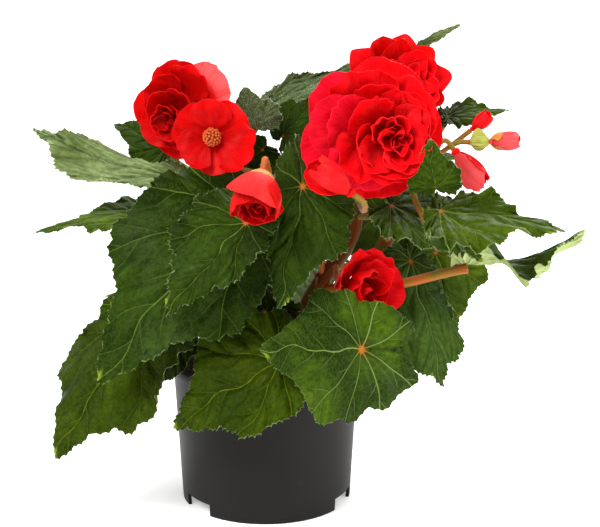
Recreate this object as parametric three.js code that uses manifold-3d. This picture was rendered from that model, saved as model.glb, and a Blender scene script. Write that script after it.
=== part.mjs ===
// A tuberous begonia in flower, standing in a round black nursery pot.
// Millimetres, +Z up. The origin is the centre of the pot's underside, and the plant's front is -Y.
// Four fleshy stems stand in plain holes in the soil and carry every leaf and bloom on a stalk.
// Leaves and petals are thin blades, bent by one formula each from a flat outline.
import * as THREE from "three";
import { mergeVertices } from "three/addons/utils/BufferGeometryUtils.js";
import Module from "manifold-3d";

const wasm = await Module();
wasm.setup();

// Driving dimensions.
const CLEARANCE = 0.3; // gap left between pieces that touch
const POT_HEIGHT = 100;
const POT_TOP_RADIUS = 64; // just under the lip
const POT_BASE_RADIUS = 58.5;
const WALL = 1.6;
const LIP_HEIGHT = 7;
const LIP_PROUD = 1.5;
const SKIRT_HEIGHT = 8; // height of the feet, and of the floor above the table
const SKIRT_WIDTH = 2.4;
const NOTCH_COUNT = 3;
const NOTCH_WIDTH = 26; // of each drainage notch between two feet
const FRONT_FOOT_TURN = 7; // degrees that the middle of the front foot is turned towards +X
const PAD_RADIUS = 14; // the dished centre of the floor, which rests on the table
const DRAIN_RADIUS = 5;
const SOIL_TOP = 90;
const SOIL_SWELL = 1.2; // height of the crumbs' unevenness
const STEM_SINK = 24; // how deep the stems stand in the soil
const LEAF_THICKNESS = 0.8;
const PETAL_THICKNESS = 0.9;
const LEAF_STALK_RADIUS = 2;
const FLOWER_STALK_RADIUS = 1.7;
const ROUND_SEGMENTS = 30;

const DEGREE = Math.PI / 180;
const { clamp, lerp } = THREE.MathUtils;
const point = ([x, y, z]) => new THREE.Vector3(x, y, z);

// Solids are joined and cut as manifolds and then turned back into geometries.

function bare(geometry) {
  const copy = geometry.clone();
  copy.deleteAttribute("normal");
  copy.deleteAttribute("uv");
  return mergeVertices(copy, 1e-4);
}

function solidOf(geometry) {
  const merged = bare(geometry);
  return new wasm.Manifold(
    new wasm.Mesh({
      numProp: 3,
      vertProperties: merged.attributes.position.array,
      triVerts: new Uint32Array(merged.index.array),
    }),
  );
}

function geometryOf(solid) {
  const mesh = solid.getMesh();
  return new THREE.BufferGeometry()
    .setAttribute("position", new THREE.BufferAttribute(mesh.vertProperties.slice(), 3))
    .setIndex(new THREE.BufferAttribute(mesh.triVerts.slice(), 1));
}

// The union of several solids. A sealed hollow is filled and a loose scrap is dropped, because both
// come back as bodies of their own.
function joined(geometries) {
  const whole = geometries.map(solidOf).reduce((sum, solid) => sum.add(solid));
  const bodies = whole.decompose();
  return geometryOf(bodies.reduce((best, body) => (body.volume() > best.volume() ? body : best)));
}

// A closed thin blade round a middle surface. Both faces are split into the same triangles.
function blade(surface, thickness) {
  const middle = bare(surface);
  middle.computeVertexNormals();
  const { position, normal } = middle.attributes;
  const count = position.count;
  const corners = [];
  for (const side of [0.5, -0.5]) {
    for (let i = 0; i < count; i++) {
      const shift = new THREE.Vector3().fromBufferAttribute(normal, i).multiplyScalar(side * thickness);
      corners.push(...new THREE.Vector3().fromBufferAttribute(position, i).add(shift).toArray());
    }
  }
  const faces = [];
  const openEdges = new Map();
  for (let i = 0; i < middle.index.count; i += 3) {
    const [a, b, c] = middle.index.array.slice(i, i + 3);
    if (a === b || b === c || c === a) continue;
    faces.push(a, b, c, c + count, b + count, a + count);
    for (const [from, to] of [[a, b], [b, c], [c, a]]) {
      if (!openEdges.delete(`${to} ${from}`)) openEdges.set(`${from} ${to}`, [from, to]);
    }
  }
  for (const [from, to] of openEdges.values()) {
    faces.push(from, from + count, to + count, from, to + count, to);
  }
  return new THREE.BufferGeometry()
    .setAttribute("position", new THREE.Float32BufferAttribute(corners, 3))
    .setIndex(faces);
}

// A fan-shaped sheet of the given columns and rings, with each point placed by a function of its
// angle and of its share of the way from the root to the margin.
function fan(halfAngle, columns, rings, place) {
  const sheet = new THREE.PlaneGeometry(2, 1, columns, rings);
  const { position } = sheet.attributes;
  for (let i = 0; i < position.count; i++) {
    const angle = position.getX(i) * halfAngle;
    const share = 0.5 - position.getY(i);
    position.setXYZ(i, ...place(angle, share).toArray());
  }
  return sheet;
}

// A tube whose rings stand at the given points, square to a smooth curve through them.
function tube(points, radius, sides) {
  const section = new THREE.Shape();
  for (let i = 0; i < sides; i++) {
    const angle = (2 * Math.PI * i) / sides;
    const place = [radius * Math.cos(angle), radius * Math.sin(angle)];
    if (i === 0) section.moveTo(...place);
    else section.lineTo(...place);
  }
  const extrudePath = new THREE.CatmullRomCurve3(points, false, "centripetal");
  extrudePath.getUtoTmapping = (share) => share;
  return new THREE.ExtrudeGeometry(section, {
    steps: points.length - 1,
    bevelEnabled: false,
    extrudePath,
  });
}

function turned(profile) {
  const points = profile.map(([radius, height]) => new THREE.Vector2(radius, height));
  return new THREE.LatheGeometry(points, ROUND_SEGMENTS).rotateX(Math.PI / 2);
}

// Pot and soil.

const FLOOR = SKIRT_HEIGHT + WALL; // height of the floor's upper face
const FLOOR_CORNER = 5; // rounding between the floor and the wall
const wallRadius = (z) => lerp(POT_BASE_RADIUS, POT_TOP_RADIUS, z / POT_HEIGHT);

// The inside of the pot, from the centre of its dished floor to the given height.
function insideProfile(top, gap) {
  return [
    [0, WALL + gap],
    [PAD_RADIUS - 2 - gap, WALL + gap],
    [PAD_RADIUS - gap, FLOOR + gap],
    [wallRadius(FLOOR) - WALL - FLOOR_CORNER, FLOOR + gap],
    [wallRadius(FLOOR + FLOOR_CORNER) - WALL - gap, FLOOR + FLOOR_CORNER],
    [wallRadius(top) - WALL - gap, top],
  ];
}

function potGeometry() {
  const lipBase = POT_HEIGHT - LIP_HEIGHT;
  const lipRadius = wallRadius(POT_HEIGHT) + LIP_PROUD;
  const outside = [
    [0, 0],
    [PAD_RADIUS, 0],
    [PAD_RADIUS + 2, SKIRT_HEIGHT],
    [POT_BASE_RADIUS - SKIRT_WIDTH - 1, SKIRT_HEIGHT],
    [POT_BASE_RADIUS - SKIRT_WIDTH, 0],
    [POT_BASE_RADIUS, 0],
    [wallRadius(lipBase), lipBase],
    [lipRadius, lipBase + 1],
    [lipRadius, POT_HEIGHT - 0.6],
    [lipRadius - 0.6, POT_HEIGHT],
  ];
  let pot = solidOf(turned([...outside, ...insideProfile(POT_HEIGHT, 0).reverse()]));
  for (let i = 0; i < NOTCH_COUNT; i++) {
    const turn = (FRONT_FOOT_TURN + (360 * (i + 0.5)) / NOTCH_COUNT) * DEGREE;
    const notch = new THREE.BoxGeometry(NOTCH_WIDTH, 20, 2 * SKIRT_HEIGHT - 1)
      .translate(0, -POT_BASE_RADIUS, 0)
      .rotateZ(turn);
    const drain = new THREE.CylinderGeometry(DRAIN_RADIUS, DRAIN_RADIUS, 4 * WALL, 10)
      .rotateX(Math.PI / 2)
      .translate(0, 12 - POT_BASE_RADIUS, FLOOR)
      .rotateZ(turn);
    pot = pot.subtract(solidOf(notch)).subtract(solidOf(drain));
  }
  return geometryOf(pot);
}

function soilGeometry() {
  const rings = [50, 28].map((radius) => [radius, SOIL_TOP]);
  const plug = turned([...insideProfile(SOIL_TOP - 2, CLEARANCE), ...rings, [0, SOIL_TOP]]);
  const { position } = plug.attributes;
  for (let i = 0; i < position.count; i++) {
    const [x, y, z] = [position.getX(i), position.getY(i), position.getZ(i)];
    if (z > SOIL_TOP - 1) position.setZ(i, z + SOIL_SWELL * Math.sin(x * 0.31) * Math.cos(y * 0.27));
  }
  let soil = solidOf(plug);
  for (const stem of STEMS) {
    const [x, y] = stem.route[0];
    const hole = new THREE.CylinderGeometry(stem.radius + 1, stem.radius + 1, 2 * STEM_SINK, 8)
      .rotateX(Math.PI / 2)
      .translate(x, y, SOIL_TOP);
    soil = soil.subtract(solidOf(hole));
  }
  return geometryOf(soil);
}

// Leaves.

// The reach of a leaf's flat outline, as a share of its length, at angles from its tip in degrees.
const LEAF_OUTLINE = [
  [0, 1],
  [8, 0.85],
  [18, 0.72],
  [30, 0.64],
  [45, 0.57],
  [60, 0.48],
  [80, 0.39],
  [105, 0.35],
  [130, 0.35],
  [155, 0.35],
  [168, 0.28],
  [174, 0.22],
];
const LEAF_HALF_ANGLE = 174 * DEGREE; // leaves a narrow notch behind the hub
const LEAF_TEETH = 9; // large teeth of the margin
const LEAF_TOOTH = 0.045; // their depth as a share of the reach
const MARGIN_WAVES = 5;
const STALK_SLANT = 37; // in degrees, between a leaf stalk and the normal of its blade

function outlineReach(angle) {
  const degrees = Math.min(Math.abs(angle), LEAF_HALF_ANGLE) / DEGREE;
  const next = Math.max(LEAF_OUTLINE.findIndex(([at]) => at >= degrees - 1e-6), 1);
  const [end, endReach] = LEAF_OUTLINE[next];
  const [start, startReach] = LEAF_OUTLINE[next - 1];
  const reach = lerp(startReach, endReach, clamp((degrees - start) / (end - start), 0, 1));
  return reach * (1 + LEAF_TOOTH * Math.cos((LEAF_TEETH * Math.PI * angle) / LEAF_HALF_ANGLE));
}

// The frame of a blade: from its hub along the chord to its tip, with its upper face's normal. The
// midrib is an arc over that chord.
function leafFrame({ hub, tip, face, droop }) {
  const chord = point(tip).sub(point(hub));
  const along = chord.clone().normalize();
  const up = point(face).projectOnPlane(along).normalize();
  const across = new THREE.Vector3().crossVectors(up, along);
  const bend = droop * DEGREE;
  const arc = chord.length() / (2 * Math.sin(bend / 2));
  return { origin: point(hub), along, across, up, bend, arc };
}

// A point of the blade's middle surface. The flat outline is folded along the midrib, waved at the
// margin and then bent round the midrib's arc.
function leafPoint(leaf, frame, angle, share) {
  const { wide, base = 1, full = 0, fold = 0, curl = 0, wave = 0.04, phase = 0 } = leaf;
  const length = frame.arc * frame.bend;
  const shoulder = Math.abs(angle) < Math.PI / 3 ? 1 + full * Math.sin(3 * angle) ** 2 : 1;
  const reach = length * share * outlineReach(angle) * shoulder;
  const x = reach * Math.cos(angle) * (Math.abs(angle) > Math.PI / 2 ? base : 1);
  const y = reach * Math.sin(angle) * wide[angle > 0 ? 0 : 1];
  const lift = (fold + (curl * Math.abs(y)) / length) * DEGREE;
  const ripple = wave * length * share * share * Math.sin(MARGIN_WAVES * angle + phase);
  const radius = frame.arc + Math.abs(y) * Math.sin(lift) + ripple;
  const turn = x / frame.arc - frame.bend / 2;
  return frame.origin
    .clone()
    .addScaledVector(frame.along, radius * Math.sin(turn) + frame.arc * Math.sin(frame.bend / 2))
    .addScaledVector(frame.across, y * Math.cos(lift))
    .addScaledVector(frame.up, radius * Math.cos(turn) - frame.arc * Math.cos(frame.bend / 2));
}

function leafGeometry(leaf) {
  const frame = leafFrame(leaf);
  const place = (angle, share) => leafPoint(leaf, frame, angle, share);
  return blade(fan(LEAF_HALF_ANGLE, 2 * LEAF_TEETH, leaf.rings ?? 3, place), LEAF_THICKNESS);
}

// The last two points of a leaf's stalk, which ends just under the blade at its hub.
function leafStalkEnd(leaf) {
  const { origin, along, across, up, bend } = leafFrame(leaf);
  const forward = along.clone().applyAxisAngle(across, -bend / 2);
  const normal = up.clone().applyAxisAngle(across, -bend / 2);
  const slant = (leaf.slant ?? STALK_SLANT) * DEGREE;
  const way = normal.clone().multiplyScalar(Math.cos(slant));
  way.addScaledVector(forward, Math.sin(slant));
  const depth = LEAF_THICKNESS / 2 + CLEARANCE + LEAF_STALK_RADIUS * Math.sin(slant);
  const end = origin.clone().addScaledVector(normal, -depth);
  return [end.clone().addScaledVector(way, -12), end];
}

// Blooms. Each stands along its axis, with its petals in whorls round a small core.

const CORE_RADIUS = 0.13; // of a bloom's core, as a share of its outer petals' length
const CORE_BACK = 0.1; // depth of the core behind the petals' roots, likewise
const WHORL_STEP = 0.045; // between the roots of two whorls, likewise
const PETAL_LAP = 0.11; // how far a petal's edge stands over its neighbour's, likewise
const PETAL_RUFFLE = 0.03; // of a petal's margin, as a share of its length
const PETAL_WRAP = 1.5; // the most that a cupped petal closes round its bloom

// Whorls from the outside inwards: petals, their length as a share of the bloom's, the angle that
// they rise at from the flat, how much further they curl in by their ends, and the half angle of
// each. Angles are in degrees. The heart is the core's height in front of the petals' roots, as a
// share of the bloom's length: a bud's is its petals that are still closed.
const WHORLS = {
  double: [
    [5, 1, 4, 22, 44],
    [5, 0.84, 28, 32, 42],
    [4, 0.6, 54, 52, 44],
  ],
  loose: [
    [4, 1, 20, 40, 48],
    [3, 0.74, 52, 52, 50],
  ],
  single: [
    [3, 1, 6, 14, 54],
    [3, 0.88, 22, 16, 50],
  ],
  cup: [
    [4, 1, 24, 76, 48],
    [3, 0.76, 54, 70, 50],
  ],
  bud: [[3, 1, 52, 60, 46]],
  closed: [[2, 1, 42, 76, 60]],
};
const HEART = { double: 0.16, loose: 0.2, single: 0.14, cup: 0.3, bud: 0.72, closed: 0.85 };
const BELLY = { bud: 1.7, closed: 2.5 }; // of the core halfway up, as a share of its radius

// A point of a petal's middle surface, in the bloom's frame with its axis along +Z. The petal lies
// on a cup turned round that axis, and slants so that it laps over the next one.
function petalPoint(petal, angle, share) {
  const { length, rise, curl, halfAngle, spacing, phase, core, lap, root } = petal;
  const reach = length * share * (1 - 0.3 * Math.abs(angle / halfAngle) ** 2.5);
  const bend = curl / length;
  const slope = rise + bend * reach;
  const out = core + (Math.sin(slope) - Math.sin(rise)) / bend;
  const up = (Math.cos(rise) - Math.cos(slope)) / bend;
  const azimuth = angle * Math.min(reach / out, PETAL_WRAP);
  const ruffle = PETAL_RUFFLE * length * share * share * Math.sin(4.5 * angle + phase);
  const back = (lap * share * azimuth) / spacing + ruffle;
  const radius = out + back * Math.sin(slope);
  const height = root + up - back * Math.cos(slope);
  return new THREE.Vector3(radius * Math.cos(azimuth), radius * Math.sin(azimuth), height);
}

function coreGeometry(bloom) {
  const radius = CORE_RADIUS * bloom.length;
  const back = CORE_BACK * bloom.length;
  const front = HEART[bloom.form] * bloom.length;
  const belly = BELLY[bloom.form] ?? 0.95;
  const profile = [
    [0, -back],
    [radius * 0.6, -back],
    [radius, 0],
    [radius * belly, front * 0.55],
    [radius * 0.6, front],
    [0, front],
  ].map(([across, height]) => new THREE.Vector2(across, height));
  return new THREE.LatheGeometry(profile, 5).rotateX(Math.PI / 2);
}

function bloomGeometry(bloom) {
  const petals = WHORLS[bloom.form].flatMap(([count, size, rise, curl, halfAngle], whorl) =>
    Array.from({ length: count }, (_, i) => {
      const petal = {
        length: bloom.length * size,
        rise: rise * DEGREE,
        curl: curl * DEGREE,
        halfAngle: halfAngle * DEGREE,
        spacing: (2 * Math.PI) / count,
        phase: 2.4 * i + whorl,
        core: (CORE_RADIUS * bloom.length) / 2,
        lap: PETAL_LAP * bloom.length,
        root: WHORL_STEP * bloom.length * whorl,
      };
      const place = (angle, share) => petalPoint(petal, angle, share);
      const turn = (i + 0.5 * (whorl % 2)) * petal.spacing + (bloom.turn ?? 0) * DEGREE;
      const sheet = fan(petal.halfAngle, whorl === 0 ? 4 : 3, 2, place);
      return blade(sheet, PETAL_THICKNESS).rotateZ(turn);
    }),
  );
  return joined([coreGeometry(bloom), ...petals]);
}

// The green ovary behind some buds, with three thin wings.
const OVARY_LENGTH = 12;
const OVARY_RADIUS = 4;
const OVARY_WING = 9.5; // from the axis to a wing's point

function ovaryGeometry(bloom) {
  const front = -(CORE_BACK * bloom.length + CLEARANCE);
  const body = [
    [0, front - OVARY_LENGTH],
    [OVARY_RADIUS * 0.6, front - OVARY_LENGTH],
    [OVARY_RADIUS, front - OVARY_LENGTH * 0.5],
    [OVARY_RADIUS * 0.7, front],
    [0, front],
  ].map(([across, height]) => new THREE.Vector2(across, height));
  const outline = new THREE.Shape([
    new THREE.Vector2(1, front - OVARY_LENGTH + 1),
    new THREE.Vector2(OVARY_WING, front - OVARY_LENGTH * 0.4),
    new THREE.Vector2(OVARY_RADIUS, front - 1),
    new THREE.Vector2(1, front - 1),
  ]);
  const wings = [0, 1, 2].map((i) =>
    new THREE.ExtrudeGeometry(outline, { depth: LEAF_THICKNESS, bevelEnabled: false })
      .translate(0, 0, -LEAF_THICKNESS / 2)
      .rotateX(Math.PI / 2)
      .rotateZ(((2 * i + 0.5) * Math.PI) / 3),
  );
  const core = new THREE.LatheGeometry(body, 8).rotateX(Math.PI / 2);
  return joined([core, ...wings]);
}

// The stamens of an open bloom: a low boss set all over with blunt stubs by the golden angle.
const STAMEN_COUNT = 10;
const STAMEN_LENGTH = 4.5;
const STAMEN_RADIUS = 0.9;
const STAMEN_BOSS = 4;

function stamensGeometry(bloom) {
  const base = HEART[bloom.form] * bloom.length + CLEARANCE;
  const boss = [
    [0, 0],
    [STAMEN_BOSS * 0.8, 0],
    [STAMEN_BOSS, 1.5],
    [STAMEN_BOSS * 0.6, 3.5],
    [0, 4],
  ].map(([across, height]) => new THREE.Vector2(across, height));
  const stubs = Array.from({ length: STAMEN_COUNT }, (_, i) => {
    const lean = 1.25 * Math.sqrt((i + 0.5) / STAMEN_COUNT);
    return new THREE.CylinderGeometry(STAMEN_RADIUS, STAMEN_RADIUS * 0.6, STAMEN_LENGTH, 3)
      .translate(0, STAMEN_LENGTH / 2 + 1.6, 0)
      .rotateX(Math.PI / 2)
      .rotateY(lean)
      .rotateZ(i * 2.4)
      .translate(0, 0, 1);
  });
  const core = new THREE.LatheGeometry(boss, 8).rotateX(Math.PI / 2);
  return joined([core, ...stubs]).translate(0, 0, base);
}

// The last two points of a flower stalk, which ends just behind the core or the ovary.
function flowerStalkEnd(bloom) {
  const axis = point(bloom.axis).normalize();
  const back = CORE_BACK * bloom.length + CLEARANCE + (bloom.ovary ? OVARY_LENGTH + CLEARANCE : 0);
  const end = point(bloom.root).addScaledVector(axis, -back);
  return [end.clone().addScaledVector(axis, -8), end];
}

// The plant.

const STEMS = [
  {
    name: "stem_centre",
    radius: 5.5,
    route: [[8, -12, 66.3], [8, -12, 90], [11, -12, 104], [34, -16, 152], [57, -24, 192], [62, -26, 222]],
  },
  {
    name: "stem_right",
    radius: 5,
    route: [[32, 14, 66.3], [32, 14, 90], [36, 14, 104], [66, 14, 150], [90, 14, 195], [100, 12, 230]],
  },
  {
    name: "stem_left",
    radius: 5,
    route: [[-20, -2, 66.3], [-20, -2, 90], [-22, -2, 104], [-36, 0, 150], [-40, 0, 195], [-36, 2, 230]],
  },
  {
    name: "stem_back",
    radius: 5,
    route: [[2, 32, 66.3], [2, 32, 90], [2, 33, 104], [2, 40, 150], [8, 42, 200], [18, 36, 240]],
  },
];

// Each leaf's stem and the share of its length at which the stalk leaves it, any points that the
// stalk passes, the hub and the tip, and the way that the upper face looks. Of the form, wide is a
// factor on the width of each side, with the anticlockwise side first, base is one on the length
// behind the hub, and full is how much broader the shoulders are. Droop is the bend of the midrib,
// fold and curl lift both sides, and slant is the stalk's lean from the blade's normal where it
// isn't the usual one; these are in degrees.
const LEAVES = [
  {
    name: "leaf_left_broad",
    stem: "stem_left",
    from: 0.8,
    hub: [-18, -56, 216],
    tip: [-101, -95, 118],
    face: [0.05, -0.85, 0.52],
    wide: [0.9, 1],
    base: 0.7,
    droop: 34,
    curl: -14,
    phase: 1,
  },
  {
    name: "leaf_left_front",
    stem: "stem_centre",
    from: 0.6,
    via: [[36, -34, 188], [27, -58, 208], [6, -72, 219]],
    hub: [-10, -96, 219],
    tip: [-57, -122, 169],
    face: [-0.1, -0.85, 0.5],
    wide: [0.7, 1.15],
    base: 0.95,
    droop: 24,
    phase: 3,
  },
  {
    name: "leaf_left_low",
    stem: "stem_left",
    from: 0.45,
    hub: [-69, -45, 146],
    tip: [-133, -72, 57],
    face: [-0.45, -0.6, 0.5],
    wide: [0.85, 0.95],
    base: 0.95,
    droop: 36,
    fold: -8,
    phase: 2,
    full: 0.2,
  },
  {
    name: "leaf_left_shade",
    stem: "stem_left",
    from: 0.35,
    hub: [-60, -14, 126],
    tip: [-88, -20, 78],
    face: [-0.4, -0.7, 0.5],
    wide: [1.1, 1.1],
    base: 0.5,
    droop: 30,
    rings: 2,
    phase: 4,
  },
  {
    name: "leaf_front_pale",
    stem: "stem_centre",
    from: 0.3,
    hub: [11, -84, 125],
    tip: [-57, -80, 79],
    face: [-0.35, -0.8, 0.5],
    wide: [1.15, 1.2],
    droop: 24,
    fold: 6,
    phase: 4,
  },
  {
    name: "leaf_front_shade",
    stem: "stem_left",
    from: 0.3,
    hub: [0, -50, 147],
    tip: [-46, -60, 107],
    face: [-0.3, -0.8, 0.5],
    wide: [1.1, 1.1],
    base: 1.1,
    droop: 30,
    rings: 2,
    phase: 5,
  },
  {
    name: "leaf_front_broad",
    stem: "stem_centre",
    from: 0.45,
    hub: [62, -98, 137],
    tip: [1, -104, 139],
    face: [0, -0.9, 0.43],
    wide: [1.85, 1.55],
    base: 1.9,
    droop: 16,
    curl: -10,
    phase: 0.5,
  },
  {
    name: "leaf_right_front",
    stem: "stem_centre",
    from: 0.65,
    hub: [98, -14, 172],
    tip: [119, -40, 95],
    face: [0.2, -0.93, 0.36],
    wide: [0.6, 0.8],
    base: 0.55,
    droop: 26,
    fold: -6,
    phase: 2.5,
    full: 0.35,
  },
  {
    name: "leaf_right_low",
    stem: "stem_right",
    from: 0.55,
    hub: [116, 8, 172],
    tip: [126, -2, 120],
    face: [0.3, -0.85, 0.4],
    wide: [1.3, 0.8],
    base: 0.8,
    droop: 24,
    rings: 2,
    phase: 1.5,
  },
  {
    name: "leaf_right_long",
    stem: "stem_right",
    from: 0.9,
    via: [[90, -14, 240], [94, -42, 236], [99, -62, 221]],
    hub: [112, -76, 222],
    tip: [187, -86, 212],
    face: [0, -0.42, 0.9],
    wide: [0.6, 1.05],
    base: 0.4,
    droop: 22,
    phase: 3.5,
  },
  {
    name: "leaf_right_upright",
    stem: "stem_right",
    from: 0.95,
    via: [[105, -22, 236], [110, -50, 239]],
    slant: 8,
    hub: [108, -84, 239],
    tip: [103, -96, 271],
    face: [-0.2, -0.95, 0.1],
    wide: [1.2, 1.3],
    base: 0.4,
    droop: 10,
    fold: 10,
    rings: 2,
  },
  {
    name: "leaf_right_mid",
    stem: "stem_centre",
    from: 0.9,
    hub: [82, -54, 220],
    tip: [141, -64, 190],
    face: [0.3, -0.5, 0.82],
    wide: [1.05, 1.05],
    base: 0.5,
    droop: 26,
    phase: 5.5,
    rings: 2,
  },
  {
    name: "leaf_right_folded",
    stem: "stem_centre",
    from: 0.55,
    via: [[80, -37, 161]],
    slant: 76,
    hub: [134, -36, 176],
    tip: [209, -38, 197],
    face: [-0.3, 0.25, 0.92],
    wide: [0.8, 0.75],
    base: 0.5,
    droop: -32,
    fold: 36,
    wave: 0.03,
    phase: 2,
  },
  {
    name: "leaf_left_folded",
    stem: "stem_left",
    from: 0.9,
    hub: [-58, -16, 231],
    tip: [-150, -10, 260],
    face: [0.15, -0.5, 0.85],
    wide: [0.5, 0.3],
    base: 0.5,
    droop: -30,
    phase: 3,
    full: 0.4,
  },
  {
    name: "leaf_left_mid",
    stem: "stem_left",
    from: 0.75,
    hub: [-80, -4, 204],
    tip: [-150, -14, 189],
    face: [-0.35, -0.1, 0.92],
    wide: [0.75, 1],
    base: 0.7,
    droop: 20,
    phase: 1.2,
    rings: 2,
  },
  {
    name: "leaf_left_small",
    stem: "stem_left",
    from: 0.95,
    hub: [-68, 30, 242],
    tip: [-103, 36, 255],
    face: [0, -0.7, 0.7],
    wide: [1.4, 1.3],
    base: 0.5,
    droop: 20,
    rings: 2,
  },
  {
    name: "leaf_top_long",
    stem: "stem_back",
    from: 0.9,
    hub: [-11, 46, 262],
    tip: [70, 66, 300],
    face: [-0.3, -0.5, 0.8],
    wide: [0.3, 0.65],
    base: 0.5,
    droop: -10,
    fold: 8,
    phase: 4,
    rings: 2,
  },
  {
    name: "leaf_top_shade",
    stem: "stem_back",
    from: 0.95,
    hub: [12, 8, 253],
    tip: [38, 4, 280],
    face: [-0.2, -0.7, 0.7],
    wide: [1.2, 1.2],
    base: 0.6,
    droop: 20,
    rings: 2,
    phase: 2,
  },
  {
    name: "leaf_centre",
    stem: "stem_centre",
    from: 0.95,
    hub: [25, -74, 237],
    tip: [10, -99, 168],
    face: [0.05, -0.93, 0.36],
    wide: [1.15, 0.75],
    base: 1.45,
    droop: 26,
    phase: 0.8,
  },
  {
    name: "leaf_top_young",
    stem: "stem_left",
    from: 0.97,
    hub: [-6, 0, 261],
    tip: [-14, -6, 288],
    face: [0, -0.95, 0.2],
    wide: [1.65, 1.65],
    base: 0.5,
    droop: 12,
    fold: 14,
    rings: 2,
  },
  {
    name: "leaf_right_top",
    stem: "stem_right",
    from: 0.97,
    hub: [124, 31, 262],
    tip: [166, 36, 266],
    face: [0.1, -0.35, 0.93],
    wide: [0.8, 0.8],
    base: 0.5,
    droop: 16,
    rings: 2,
    phase: 4,
  },
  {
    name: "leaf_top_narrow",
    stem: "stem_right",
    from: 0.97,
    via: [[104, 44, 280]],
    hub: [106, 46, 308],
    tip: [132, 48, 322],
    face: [-0.3, -0.8, 0.5],
    wide: [0.3, 0.3],
    base: 0.5,
    droop: 16,
    rings: 2,
  },
  {
    name: "leaf_inner_top",
    stem: "stem_back",
    from: 0.8,
    hub: [-2, 26, 240],
    tip: [-29, 16, 214],
    face: [-0.2, -0.85, 0.45],
    wide: [1.2, 1.2],
    base: 0.6,
    droop: 20,
    rings: 2,
    phase: 3,
  },
  {
    name: "leaf_inner_right",
    stem: "stem_back",
    from: 0.7,
    via: [[48, 46, 176], [78, 50, 180]],
    hub: [83, 38, 193],
    tip: [79, 30, 143],
    face: [0.2, -0.8, 0.5],
    wide: [0.9, 0.9],
    base: 0.6,
    droop: 26,
    rings: 2,
    phase: 4,
  },
  {
    name: "leaf_back_high_left",
    stem: "stem_left",
    from: 0.92,
    hub: [-36, 50, 240],
    tip: [-72, 98, 208],
    face: [-0.5, 0.4, 0.75],
    wide: [1, 1],
    base: 0.7,
    droop: 34,
    rings: 2,
    phase: 2,
  },
  {
    name: "leaf_back_high_right",
    stem: "stem_right",
    from: 0.88,
    hub: [98, 66, 236],
    tip: [128, 112, 204],
    face: [0.45, 0.45, 0.75],
    wide: [1, 1],
    base: 0.7,
    droop: 34,
    rings: 2,
    phase: 5,
  },
  {
    name: "leaf_back_left",
    stem: "stem_back",
    from: 0.75,
    hub: [-46, 62, 196],
    tip: [-100, 118, 150],
    face: [-0.4, 0.45, 0.8],
    wide: [1.1, 1.05],
    base: 0.8,
    droop: 34,
    phase: 2,
    rings: 2,
  },
  {
    name: "leaf_back_middle",
    stem: "stem_back",
    from: 0.85,
    hub: [10, 84, 214],
    tip: [2, 158, 168],
    face: [0, 0.55, 0.8],
    wide: [1.05, 1.1],
    base: 0.8,
    droop: 34,
    phase: 1,
    rings: 2,
  },
  {
    name: "leaf_back_right",
    stem: "stem_back",
    from: 0.8,
    hub: [66, 66, 207],
    tip: [112, 128, 164],
    face: [0.4, 0.45, 0.8],
    wide: [1.1, 1],
    base: 0.8,
    droop: 34,
    phase: 3,
    rings: 2,
  },
  {
    name: "leaf_back_right_low",
    stem: "stem_right",
    from: 0.4,
    hub: [80, 54, 142],
    tip: [120, 106, 96],
    face: [0.5, 0.4, 0.75],
    wide: [1.1, 1.05],
    base: 0.6,
    droop: 36,
    rings: 2,
    phase: 4,
  },
  {
    name: "leaf_back_left_low",
    stem: "stem_left",
    from: 0.4,
    hub: [-64, 40, 146],
    tip: [-112, 86, 102],
    face: [-0.5, 0.4, 0.75],
    wide: [1.05, 1.1],
    base: 0.7,
    droop: 36,
    rings: 2,
    phase: 5,
  },
  {
    name: "leaf_back_low",
    stem: "stem_back",
    from: 0.45,
    hub: [10, 76, 148],
    tip: [18, 142, 94],
    face: [0.1, 0.6, 0.75],
    wide: [1.1, 1.05],
    base: 0.7,
    droop: 36,
    rings: 2,
  },
];

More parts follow.
